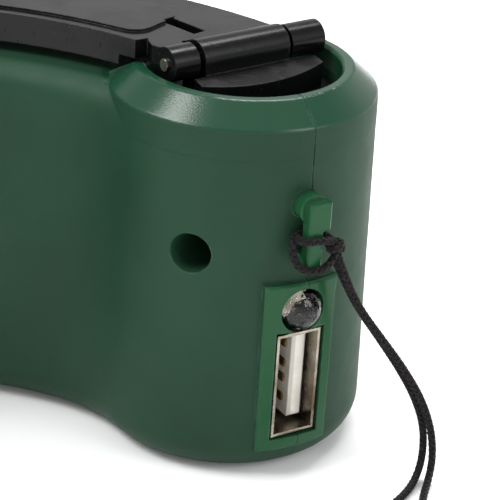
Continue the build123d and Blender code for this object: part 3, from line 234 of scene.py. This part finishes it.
PART_SHADE = srgb(46, 46, 48)
CLEAR = srgb(244, 248, 248)
YARN = srgb(17, 15, 16)
# lighter brown for the yarn: partly its own brown cast, partly painted sheen
YARN_BROWN_AND_SHEEN = srgb(46, 38, 38)
SOLDER_RESIST = srgb(14, 84, 42)
TRACK = srgb(40, 128, 66)
SLEEVE = srgb(26, 34, 62)
SLEEVE_STRIPE = srgb(176, 178, 184)
WIRE_RED = srgb(150, 34, 30)
WIRE_SHADE = srgb(118, 24, 22)
FLOOR_WHITE = srgb(250, 250, 250)
FLOOR_LIGHT = srgb(252, 252, 252)


def in_row(point):
    """A point of the head's frame, in metres, in the part's frame."""
    return HUB + Matrix.Rotation(HEAD_TURN, 3, "Z") @ Vector(point)


def head_mm(x, y, z):
    """A point of the head's frame given in millimetres, in the part's frame."""
    return in_row((x * MM, y * MM, z * MM))


def add(name, data):
    """An object with this data in the scene."""
    piece = bpy.data.objects.new(name, data)
    bpy.context.scene.collection.objects.link(piece)
    return piece


# ---- camera ----
def towards_camera():
    """Direction from the object to the camera."""
    level = cos(CAMERA_PITCH)
    back = Vector((level * cos(CAMERA_YAW), level * sin(CAMERA_YAW), sin(CAMERA_PITCH)))
    return Matrix.Rotation(HEAD_TURN, 3, "Z") @ back


def make_camera():
    """The photograph's viewpoint."""
    back = towards_camera()
    right = Vector((0, 0, 1)).cross(back).normalized()
    above = back.cross(right)
    turned_right = cos(CAMERA_ROLL) * right + sin(CAMERA_ROLL) * above
    turned_above = cos(CAMERA_ROLL) * above - sin(CAMERA_ROLL) * right
    aim = HUB + Vector((0, 0, CAMERA_AIM_HEIGHT))
    aim += turned_right * CAMERA_AIM[0] + turned_above * CAMERA_AIM[1]
    data = bpy.data.cameras.new("camera")
    data.lens = CAMERA_LENS
    data.sensor_width = CAMERA_SENSOR
    data.clip_start = CAMERA_CLIP
    camera = add("camera", data)
    axes = Matrix((turned_right, turned_above, back)).transposed()
    camera.matrix_world = Matrix.Translation(aim + back * CAMERA_DISTANCE) @ axes.to_4x4()
    bpy.context.scene.camera = camera


# ---- lines and meshes ----
def smooth_line(places):
    """Points along the NURBS curve that these places control."""
    curve = bpy.data.curves.new("route", "CURVE")
    curve.dimensions = "3D"
    curve.resolution_u = ROUTE_RESOLUTION
    spline = curve.splines.new("NURBS")
    spline.points.add(len(places) - 1)
    for point, place in zip(spline.points, places):
        point.co = (*place, 1)
    spline.order_u = ROUTE_ORDER
    spline.use_endpoint_u = True
    holder = bpy.data.objects.new("route", curve)
    mesh = bpy.data.meshes.new_from_object(holder)
    line = [vertex.co.copy() for vertex in mesh.vertices]
    bpy.data.objects.remove(holder)
    bpy.data.meshes.remove(mesh)
    return line


def even_steps(line, step):
    """The same line with its points this far apart."""
    lengths = [0.0]
    for before, after in zip(line, line[1:]):
        lengths.append(lengths[-1] + (after - before).length)
    count = ceil(lengths[-1] / step)
    points = []
    at = 0
    for number in range(count + 1):
        wanted = lengths[-1] * number / count
        while at < len(line) - 2 and lengths[at + 1] < wanted:
            at += 1
        share = (wanted - lengths[at]) / (lengths[at + 1] - lengths[at])
        points.append(line[at].lerp(line[at + 1], share))
    return points, lengths[-1] / count


def frames_along(points):
    """A steady pair of sideways directions at each point."""
    ahead = (points[1] - points[0]).normalized()
    side = ahead.orthogonal().normalized()
    frames = []
    for number, _ in enumerate(points):
        before = points[max(number - 1, 0)]
        after = points[min(number + 1, len(points) - 1)]
        turned = (after - before).normalized()
        side = (ahead.rotation_difference(turned) @ side).normalized()
        ahead = turned
        frames.append((side, ahead.cross(side)))
    return frames


def add_tube(rings, vertices, faces):
    """Rings of points joined into one closed tube."""
    start = len(vertices)
    sides = len(rings[0])
    for ring in rings:
        vertices.extend(ring)
    for number in range(len(rings) - 1):
        low = start + number * sides
        for side in range(sides):
            following = (side + 1) % sides
            faces.append((low + side, low + following, low + sides + following, low + sides + side))
    faces.append(tuple(start + side for side in reversed(range(sides))))
    faces.append(tuple(len(vertices) - sides + side for side in range(sides)))


def make_mesh(name, vertices, faces, smooth=True):
    """A mesh object, smooth-shaded or with flat faces."""
    mesh = bpy.data.meshes.new(name)
    mesh.from_pydata(vertices, [], faces)
    if smooth:
        mesh.shade_smooth()
    return add(name, mesh)


def make_piece(name, slot, node, tubes, smooth=True):
    """A piece on the housing that stands for a node: closed tubes, each given by its rings of points."""
    vertices = []
    faces = []
    for rings in tubes:
        add_tube(rings, vertices, faces)
    piece = make_mesh(name, vertices, faces, smooth)
    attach(piece, "housing")
    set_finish(piece, slot)
    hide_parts(node)
    return piece


# ---- cord ----
def strand_rings(points, frames, step, way, number):
    """Flat ribbon-like rings of one strand that winds round the line, over and under the others."""
    turn_per_metre = 2 * pi / BRAID_PITCH
    reach = CORD_DIAMETER / 2 - STRAND_T - STRAND_LIFT
    rings = []
    for place, (point, (side, above)) in enumerate(zip(points, frames)):
        turned = turn_per_metre * place * step
        angle = way * turned + 2 * pi * number / BRAID_STRANDS
        outwards = cos(angle) * side + sin(angle) * above
        around = cos(angle) * above - sin(angle) * side
        middle = point + (reach + way * STRAND_LIFT * cos(BRAID_STRANDS * turned)) * outwards
        rings.append(
            (
                middle + STRAND_T * outwards,
                middle + STRAND_W * around,
                middle - STRAND_T * outwards,
                middle - STRAND_W * around,
            )
        )
    return rings


def make_braid(name, node, places):
    """Round braided cord along the smooth line of these places: a core and strands that cross over it."""
    points, step = even_steps(smooth_line(places), BRAID_STEP)
    frames = frames_along(points)
    turns = [2 * pi * number / CORE_SIDES for number in range(CORE_SIDES)]
    radius = BRAID_CORE * CORD_DIAMETER / 2
    core = []
    for point, (side, above) in zip(points, frames):
        core.append([point + radius * (cos(turn) * side + sin(turn) * above) for turn in turns])
    tubes = [core]
    for way in (-1, 1):
        for number in range(BRAID_STRANDS):
            tubes.append(strand_rings(points, frames, step, way, number))
    return make_piece(name, "cord", node, tubes), points


def knot_places():
    """Coil of the knot round the two cord ends."""
    middle = head_mm(*KNOT_MM)
    hang = (head_mm(*CORD_ROUTE_MM[1]) - middle).normalized()
    side = hang.orthogonal().normalized()
    above = hang.cross(side)
    places = []
    for number in range(KNOT_POINTS):
        share = number / (KNOT_POINTS - 1)
        turn = 2 * pi * KNOT_TURNS * share
        outwards = cos(turn) * side + sin(turn) * above
        places.append(middle + KNOT_COIL_R * outwards + (share - 0.5) * KNOT_RISE * hang)
    return places


def make_cords():
    """The wrist loop, its hitch round the bar and the knot between them."""
    knot, _ = make_braid("lanyard_knot_coil", "lanyard_knot", knot_places())
    hitch, _ = make_braid("lanyard_hitch", "lanyard_knot", [head_mm(*place) for place in HITCH_ROUTE_MM])
    loop, _ = make_braid("lanyard_small_loop", "lanyard_knot", [head_mm(*place) for place in LOOP_ROUTE_MM])
    cord, path = make_braid("wrist_cord", "lanyard_cord", [head_mm(*place) for place in CORD_ROUTE_MM])
    return [knot, hitch, loop, cord]


# ---- lamp and socket ----
def ring_round_lamp(x, radius):
    """Points of a circle round the lamp's axis."""
    turns = [2 * pi * number / ROUND_SIDES for number in range(ROUND_SIDES)]
    return [in_row((x, SOCKET_Y + radius * cos(turn), LAMP_Z + radius * sin(turn))) for turn in turns]


def make_lens():
    """Clear lamp: flange, barrel and dome."""
    flange_x = LAMP_BACK_X + LAMP_FLANGE_T
    profile = [(LAMP_BACK_X, LAMP_FLANGE_R), (flange_x, LAMP_FLANGE_R)]
    profile += [(flange_x, LAMP_R), (LAMP_DOME_X, LAMP_R)]
    for step in range(1, DOME_STEPS):
        turn = pi / 2 * step / DOME_STEPS
        profile.append((LAMP_DOME_X + LAMP_R * sin(turn), LAMP_R * cos(turn)))
    rings = [ring_round_lamp(x, radius) for x, radius in profile]
    return make_piece("led_lens", "clear_lens", "led", [rings])


def post_rings(stations, height, width):
    """Rings of a flat post whose width changes along the lamp's axis."""
    rings = []
    for x, share in stations:
        half = width / 2 * share
        corners = ((-1, -1), (1, -1), (1, 1), (-1, 1))
        rings.append([in_row((x, SOCKET_Y + POST_T / 2 * a, LAMP_Z + height + half * b)) for a, b in corners])
    return rings


def make_reflector():
    """Bright cup on its post, the thinner post beside it, and the two legs behind the lens."""
    tubes = [[ring_round_lamp(CUP_X + depth * CUP_DEPTH, share * CUP_R) for depth, share in CUP_PROFILE]]
    for (height, width), end in ((CUP_POST, CUP_X - CUP_DEPTH), (SIDE_POST, CUP_X)):
        stations = (
            (POST_FOOT_X, POST_FOOT_SHARE),
            (POST_FOOT_X + POST_FOOT_L, 1.0),
            (end - POST_TIP_L, 1.0),
            (end, POST_TIP_SHARE),
        )
        tubes.append(post_rings(stations, height, width))
    leg = ((LAMP_BACK_X - LEG_LENGTH, 1.0), (LAMP_BACK_X - LEG_GAP, 1.0))
    for side in (-1, 1):
        tubes.append(post_rings(leg, side * LEG_OFFSET, LEG_W))
    return make_piece("led_reflector", "bright_steel", "led", tubes)


def block_rings(x, y, z, chamfer=0.0):
    """Rings of a block between pairs of limits in the head's frame, its front narrowed by a chamfer."""
    rings = []
    for at, inset in ((x[0], 0.0), (x[1] - chamfer, 0.0), (x[1], chamfer)):
        low_y, high_y = y[0] + inset, y[1] - inset
        low_z, high_z = z[0] + inset, z[1] - inset
        corners = ((low_y, low_z), (high_y, low_z), (high_y, high_z), (low_y, high_z))
        rings.append([in_row((at, side, height)) for side, height in corners])
    return rings


def limits(middle, half):
    """The two limits this far from a middle."""
    return middle - half, middle + half


def make_tongue():
    """White tongue of the socket on its block, its front edges chamfered."""
    tip = MOUTH_X - TONGUE_SET_BACK
    root = tip - TONGUE_L
    across = limits(TONGUE_Y, TONGUE_T / 2)
    height = limits(SOCKET_Z, TONGUE_H / 2)
    tongue = block_rings((root, tip), across, height, TONGUE_CHAMFER)
    wide = limits(SOCKET_Y, BLOCK_HALF_W)
    block = block_rings((root - BLOCK_L, root), wide, limits(SOCKET_Z, BLOCK_HALF_H))
    return make_piece("usb_tongue_moulding", "white_plastic", "usb_tongue", [tongue, block], smooth=False)


def make_contacts():
    """Four plated contacts on the tongue's side towards the fingers, their noses bent down into it."""
    tip = MOUTH_X - TONGUE_SET_BACK
    face_y = TONGUE_Y - TONGUE_T / 2
    along = (tip - TONGUE_L, tip - CONTACT_SET_BACK)
    across = (face_y - CONTACT_T, face_y + CONTACT_SINK)
    tubes = []
    for offset in CONTACT_HEIGHTS:
        tubes.append(block_rings(along, across, limits(SOCKET_Z + offset, CONTACT_W / 2), CONTACT_T))
    return make_piece("usb_contact_strips", "contact_gold", "usb_contacts", tubes, smooth=False)


# ---- finishes ----
EDGE_SAMPLES = 4
EDGE_STARTS = 0.99  # cosine between the true and the rounded normal where an edge's mask starts
EDGE_FULL = 0.86
WAVE_SCALE = pi / 10  # gives one wave per unit of place


class Finish:
    """A Principled material whose colour, roughness and relief are built up in procedural layers."""

    def __init__(self, name, colour, roughness, metallic=0.0, specular=0.5):
        self.material = bpy.data.materials.new(name)
        self.material.use_nodes = True
        self.tree = self.material.node_tree
        self.shader = self.tree.nodes["Principled BSDF"]
        self.set("Base Color", (*colour, 1))
        self.set("Roughness", roughness)
        self.set("Metallic", metallic)
        self.set("Specular IOR Level", specular)
        self.place = self.node("ShaderNodeTexCoord").outputs["Object"]

    def set(self, name, value):
        """A plain setting of the shader."""
        self.shader.inputs[name].default_value = value

    def node(self, kind, **settings):
        """A new node with these settings."""
        made = self.tree.nodes.new(kind)
        for name, value in settings.items():
            setattr(made, name, value)
        return made

    def feed(self, socket, value):
        """A link where the value comes from a node, and otherwise a plain setting."""
        if isinstance(value, bpy.types.NodeSocket):
            self.tree.links.new(value, socket)
        else:
            socket.default_value = value

    def stretched(self, size, stretch):
        """Place in units of this size, each axis stretched by its own number."""
        scaled = self.node("ShaderNodeVectorMath", operation="MULTIPLY")
        self.feed(scaled.inputs[0], self.place)
        scaled.inputs[1].default_value = [1 / (size * share) for share in stretch]
        return scaled.outputs["Vector"]

    def noise(self, size, detail=2.0, stretch=(1, 1, 1)):
        """Soft random pattern, 0 to 1, in spots of about this size."""
        pattern = self.node("ShaderNodeTexNoise")
        pattern.inputs["Scale"].default_value = 1.0
        pattern.inputs["Detail"].default_value = detail
        self.feed(pattern.inputs["Vector"], self.stretched(size, stretch))
        return pattern.outputs[0]

    def cells(self, size):
        """Distance to the nearest of random points about this far apart."""
        pattern = self.node("ShaderNodeTexVoronoi")
        pattern.inputs["Scale"].default_value = 1.0
        self.feed(pattern.inputs["Vector"], self.stretched(size, (1, 1, 1)))
        return pattern.outputs["Distance"]

    def bands(self, width, axis="Z", distortion=0.0):
        """Regular waves, 0 to 1, of this width along an axis."""
        pattern = self.node("ShaderNodeTexWave", bands_direction=axis)
        pattern.inputs["Scale"].default_value = WAVE_SCALE
        pattern.inputs["Distortion"].default_value = distortion
        self.feed(pattern.inputs["Vector"], self.stretched(width, (1, 1, 1)))
        return pattern.outputs[1]

    def span(self, value, low, high):
        """0 on the low side, 1 on the high side, and even between."""
        ramp = self.node("ShaderNodeMapRange")
        self.feed(ramp.inputs["Value"], value)
        ramp.inputs["From Min"].default_value = low
        ramp.inputs["From Max"].default_value = high
        return ramp.outputs["Result"]

    def patches(self, size, low, high, detail=2.0):
        """Random patches of about this size: 0 where the noise is low, 1 where it is high."""
        return self.span(self.noise(size, detail), low, high)

    def combine(self, operation, first, second):
        """Two numbers in one."""
        result = self.node("ShaderNodeMath", operation=operation)
        self.feed(result.inputs[0], first)
        self.feed(result.inputs[1], second)
        return result.outputs["Value"]

    def layer(self, name, mask, value):
        """This value where the mask is 1, over what the shader's input had."""
        socket = self.shader.inputs[name]
        colours = name == "Base Color"
        mix = self.node("ShaderNodeMix", data_type="RGBA" if colours else "FLOAT")
        first, second = (mix.inputs[6], mix.inputs[7]) if colours else (mix.inputs[2], mix.inputs[3])
        before = socket.links[0].from_socket if socket.links else socket.default_value
        self.feed(first, before)
        self.feed(second, (*value, 1) if colours else value)
        self.feed(mix.inputs[0], mask)
        self.feed(socket, mix.outputs[2] if colours else mix.outputs[0])

    def tint(self, mask, colour):
        """This colour where the mask is 1."""
        self.layer("Base Color", mask, colour)

    def rough(self, mask, roughness):
        """This roughness where the mask is 1."""
        self.layer("Roughness", mask, roughness)

    def relief(self, height, depth):
        """Bumps of this depth over what was there."""
        bump = self.node("ShaderNodeBump")
        bump.inputs["Distance"].default_value = depth
        self.feed(bump.inputs["Height"], height)
        normal = self.shader.inputs["Normal"]
        if normal.links:
            self.feed(bump.inputs["Normal"], normal.links[0].from_socket)
        self.feed(normal, bump.outputs["Normal"])

    def soft_edges(self, radius):
        """Shading that rounds sharp edges; gives back a mask of where they are."""
        bevel = self.node("ShaderNodeBevel", samples=EDGE_SAMPLES)
        bevel.inputs["Radius"].default_value = radius
        self.feed(self.shader.inputs["Normal"], bevel.outputs["Normal"])
        plain = self.node("ShaderNodeNewGeometry").outputs["Normal"]
        facing = self.node("ShaderNodeVectorMath", operation="DOT_PRODUCT")
        self.feed(facing.inputs[0], bevel.outputs["Normal"])
        self.feed(facing.inputs[1], plain)
        return self.span(facing.outputs["Value"], EDGE_STARTS, EDGE_FULL)

    def head_place(self):
        """Place in the head's frame, x, y, z, and the distance from the hub's axis."""
        turned = self.node("ShaderNodeMapping", vector_type="TEXTURE")
        turned.inputs["Location"].default_value = HUB
        turned.inputs["Rotation"].default_value = (0, 0, HEAD_TURN)
        self.feed(turned.inputs["Vector"], self.place)
        split = self.node("ShaderNodeSeparateXYZ")
        self.feed(split.inputs[0], turned.outputs[0])
        flat = self.node("ShaderNodeVectorMath", operation="MULTIPLY")
        self.feed(flat.inputs[0], turned.outputs[0])
        flat.inputs[1].default_value = (1, 1, 0)
        length = self.node("ShaderNodeVectorMath", operation="LENGTH")
        self.feed(length.inputs[0], flat.outputs[0])
        return (*split.outputs, length.outputs["Value"])


def shell_finish():
    """Green moulded shell: satin with a fine grain, polished on the collar, the frame and the bar."""
    look = Finish("green_shell", GREEN, 0.5, specular=0.18)
    edges = look.soft_edges(0.3 * MM)
    look.tint(look.patches(16 * MM, 0.4, 0.65), GREEN_SHADE)
    x, _, z, out = look.head_place()
    collar = look.combine("MULTIPLY", look.span(z, *COLLAR_FOOT_Z), look.span(out, *COLLAR_OUT))
    socket_side = look.combine("MULTIPLY", look.span(out, *SOCKET_SIDE_OUT), look.span(x, *SOCKET_SIDE_X))
    polished = look.combine("MAXIMUM", collar, socket_side)
    look.tint(polished, GREEN_POLISHED)
    look.tint(socket_side, GREEN_FRAME)
    look.rough(look.patches(3 * MM, 0.3, 0.8), 0.6)
    look.rough(polished, 0.22)
    look.layer("Specular IOR Level", collar, 0.42)
    seam = look.combine("MULTIPLY", *(look.span(z, *side) for side in SEAM_BAND_Z))
    rubbed = look.combine("MULTIPLY", edges, look.patches(1.1 * MM, 0.35, 0.6))
    look.tint(look.combine("SUBTRACT", rubbed, seam), GREEN_RUBBED)
    look.relief(look.noise(0.2 * MM, detail=1), 0.012 * MM)
    look.relief(look.noise(7 * MM, detail=1), 0.05 * MM)
    return look.material


def black_finish(name, roughness, grain):
    """Black moulded plastic with smudges, hairline scratches, dust and rubbed edges."""
    look = Finish(name, BLACK, roughness, specular=0.22)
    edges = look.soft_edges(0.18 * MM)
    look.tint(look.combine("MULTIPLY", edges, look.patches(0.9 * MM, 0.4, 0.7)), BLACK_RUBBED)
    look.rough(look.patches(5 * MM, 0.45, 0.7, detail=4), roughness + 0.14)
    scratches = look.span(look.noise(0.25 * MM, detail=1, stretch=(14, 1, 6)), 0.68, 0.74)
    look.rough(scratches, roughness + 0.25)
    dust = look.span(look.cells(0.9 * MM), 0.075, 0.05)
    look.tint(look.combine("MULTIPLY", dust, look.patches(4 * MM, 0.5, 0.6)), DUST)
    look.relief(look.noise(0.18 * MM, detail=1), grain)
    look.relief(look.noise(5 * MM, detail=1), 0.03 * MM)
    return look.material


def metal_finish(name, colour, worn, roughness, brush=(1, 1, 9)):
    """Metal with brush lines, a cloudy bloom and bright edges."""
    look = Finish(name, colour, roughness, metallic=1.0)
    edges = look.soft_edges(0.12 * MM)
    look.tint(look.patches(2.6 * MM, 0.42, 0.7, detail=3), worn)
    look.rough(look.patches(1.4 * MM, 0.4, 0.75, detail=3), roughness + 0.16)
    look.rough(edges, roughness * 0.7)
    look.relief(look.noise(0.12 * MM, detail=1, stretch=brush), 0.006 * MM)
    return look.material


def moulded_finish(name, colour, shade, roughness):
    """Plain moulded plastic with a soft cloud and a fine grain."""
    look = Finish(name, colour, roughness, specular=0.4)
    edges = look.soft_edges(0.12 * MM)
    look.tint(look.patches(2.2 * MM, 0.45, 0.75, detail=3), shade)
    look.rough(edges, roughness * 0.75)
    look.relief(look.noise(0.25 * MM, detail=1), 0.012 * MM)
    return look.material


def lens_finish():
    """Clear moulded lamp, with the waves of its mould."""
    look = Finish("clear_lens", CLEAR, 0.03)
    look.set("Transmission Weight", 1.0)
    look.set("IOR", 1.5)
    look.rough(look.patches(1.2 * MM, 0.55, 0.8), 0.08)
    look.relief(look.noise(0.8 * MM), 0.16 * MM)
    return look.material


def cord_finish():
    """Black braided yarn: fine fibres, a soft sheen, and lighter brown patches that are partly the yarn's
    brown cast and partly painted sheen.
    """
    look = Finish("cord", YARN, 0.75, specular=0.2)
    look.set("Sheen Weight", 0.06)
    look.set("Sheen Roughness", 0.4)
    # lighter brown patches: partly the yarn's own brown cast, partly painted sheen on the fibres
    look.tint(look.patches(0.35 * MM, 0.48, 0.75, detail=3), YARN_BROWN_AND_SHEEN)
    look.relief(look.noise(0.07 * MM), 0.02 * MM)
    return look.material


def laminated_finish():
    """Stacked iron sheets of the stator."""
    look = Finish("iron", IRON, 0.45, metallic=1.0)
    look.tint(look.patches(1.5 * MM, 0.5, 0.75, detail=3), RUST)
    look.relief(look.bands(0.5 * MM), 0.04 * MM)
    return look.material


def coil_finish():
    """Enamelled copper wire, turn beside turn, with painted shade darkening the grooves between the turns."""
    look = Finish("copper_coil", COPPER, 0.28, metallic=1.0)
    turns = look.bands(0.36 * MM, distortion=0.6)
    # painted shade: the colour darkens in the grooves between the turns
    look.tint(look.span(turns, 0.5, 0.1), COPPER_GROOVE_SHADE)
    look.relief(turns, 0.08 * MM)
    return look.material


def board_finish():
    """Green solder resist over copper tracks."""
    look = Finish("board_green", SOLDER_RESIST, 0.32)
    tracks = look.span(look.bands(1.4 * MM, distortion=2.5), 0.82, 0.9)
    look.tint(tracks, TRACK)
    look.relief(tracks, 0.03 * MM)
    look.rough(look.patches(1.5 * MM, 0.5, 0.8, detail=3), 0.45)
    return look.material


def sleeve_finish():
    """Shrunk sleeve of the capacitor with its plain pale stripe."""
    look = Finish("capacitor_sleeve", SLEEVE, 0.3)
    look.tint(look.span(look.bands(7 * MM, "X"), 0.93, 0.96), SLEEVE_STRIPE)
    look.relief(look.noise(0.5 * MM), 0.02 * MM)
    return look.material


def wire_finish():
    """Insulated leads with a soft rubber skin."""
    look = Finish("wire", WIRE_RED, 0.5)
    look.tint(look.patches(2 * MM, 0.45, 0.7), WIRE_SHADE)
    look.relief(look.noise(0.2 * MM, detail=1), 0.01 * MM)
    return look.material


def make_finishes():
    """One material for each of the record's material slots."""
    return {
        "green_shell": shell_finish(),
        "black_gloss": black_finish("black_gloss", 0.19, 0.002 * MM),
        "black_satin": black_finish("black_satin", 0.24, 0.004 * MM),
        "steel": metal_finish("steel", STEEL, DULL, 0.3),
        "bright_steel": metal_finish("bright_steel", NICKEL, NICKEL_WORN, 0.26, brush=(6, 6, 1)),
        "white_plastic": moulded_finish("white_plastic", WHITE_PLASTIC, WHITE_SHADE, 0.4),
        "contact_gold": metal_finish("contact_gold", GOLD, GOLD_WORN, 0.28),
        "clear_lens": lens_finish(),
        "gear_nylon": moulded_finish("gear_nylon", NYLON, NYLON_SHADE, 0.45),
        "brass": metal_finish("brass", BRASS, BRASS_WORN, 0.28),
        "iron": laminated_finish(),
        "magnet": moulded_finish("magnet", MAGNET, MAGNET_SHADE, 0.5),
        "copper_coil": coil_finish(),
        "board_green": board_finish(),
        "black_part": moulded_finish("black_part", PART_BLACK, PART_SHADE, 0.45),
        "capacitor_sleeve": sleeve_finish(),
        "wire": wire_finish(),
        "cord": cord_finish(),
    }


def paint(frame, pieces):
    """Each node and each made piece gets its slot's material."""
    finishes = make_finishes()
    slots = {row["node"]: row["material_slot"] for row in frame["record"]["subparts"]}
    for name, node in frame["nodes"].items():
        node.data.materials.clear()
        node.data.materials.append(finishes[slots[name]])
    for piece in pieces:
        piece.data.materials.append(finishes[piece["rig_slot"]])


# ---- floor and light ----
def make_floor():
    """Plain pale floor that keeps the object's shadow."""
    look = Finish("floor", FLOOR_WHITE, 0.95, specular=0.05)
    look.tint(look.patches(FLOOR_CLOUD, 0.3, 0.7), FLOOR_LIGHT)
    half = FLOOR_SIZE / 2
    corners = [(-half, -half, 0), (half, -half, 0), (half, half, 0), (-half, half, 0)]
    floor = make_mesh("floor", corners, [(0, 1, 2, 3)])
    floor.data.materials.append(look.material)


def make_sky():
    """Plain studio surroundings whose brightness changes only with height."""
    world = bpy.data.worlds.new("surroundings")
    bpy.context.scene.world = world
    world.use_nodes = True
    tree = world.node_tree
    split = tree.nodes.new("ShaderNodeSeparateXYZ")
    tree.links.new(tree.nodes.new("ShaderNodeTexCoord").outputs["Generated"], split.inputs[0])
    ramp = tree.nodes.new("ShaderNodeValToRGB")
    stops = ramp.color_ramp.elements
    while len(stops) < len(SKY):
        stops.new(0.5)
    for stop, (height, level) in zip(stops, SKY):
        stop.position = height
        stop.color = (level, level, level, 1)
    tree.links.new(split.outputs["Z"], ramp.inputs["Fac"])
    tree.links.new(ramp.outputs["Color"], tree.nodes["Background"].inputs["Color"])


def make_lamps():
    """Soft panels round the object, placed by their turn from the camera's side."""
    heading = towards_camera()
    heading.z = 0
    heading.normalize()
    for name, turn, elevation, width, height, power in LAMPS:
        data = bpy.data.lights.new(name, "AREA")
        data.shape = "RECTANGLE"
        data.size = width
        data.size_y = height
        data.energy = power
        lamp = add(name, data)
        direction = Matrix.Rotation(radians(turn), 3, "Z") @ heading * cos(radians(elevation))
        direction += Vector((0, 0, sin(radians(elevation))))
        lamp.location = AIM + direction * LAMP_DISTANCE
        lamp.rotation_euler = (-direction).to_track_quat("-Z", "Y").to_euler()
        lamp.visible_camera = False


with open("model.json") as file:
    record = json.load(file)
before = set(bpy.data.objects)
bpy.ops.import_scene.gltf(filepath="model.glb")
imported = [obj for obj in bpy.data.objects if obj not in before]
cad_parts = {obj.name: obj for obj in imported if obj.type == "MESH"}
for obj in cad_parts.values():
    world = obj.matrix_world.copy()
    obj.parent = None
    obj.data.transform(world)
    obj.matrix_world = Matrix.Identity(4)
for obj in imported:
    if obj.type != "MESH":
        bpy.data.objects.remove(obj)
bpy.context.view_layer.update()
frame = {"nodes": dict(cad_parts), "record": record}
make_camera()
paint(frame, make_cords() + [make_lens(), make_reflector(), make_tongue(), make_contacts()])
make_floor()
make_sky()
make_lamps()
bpy.context.scene.view_settings.view_transform = "Standard"
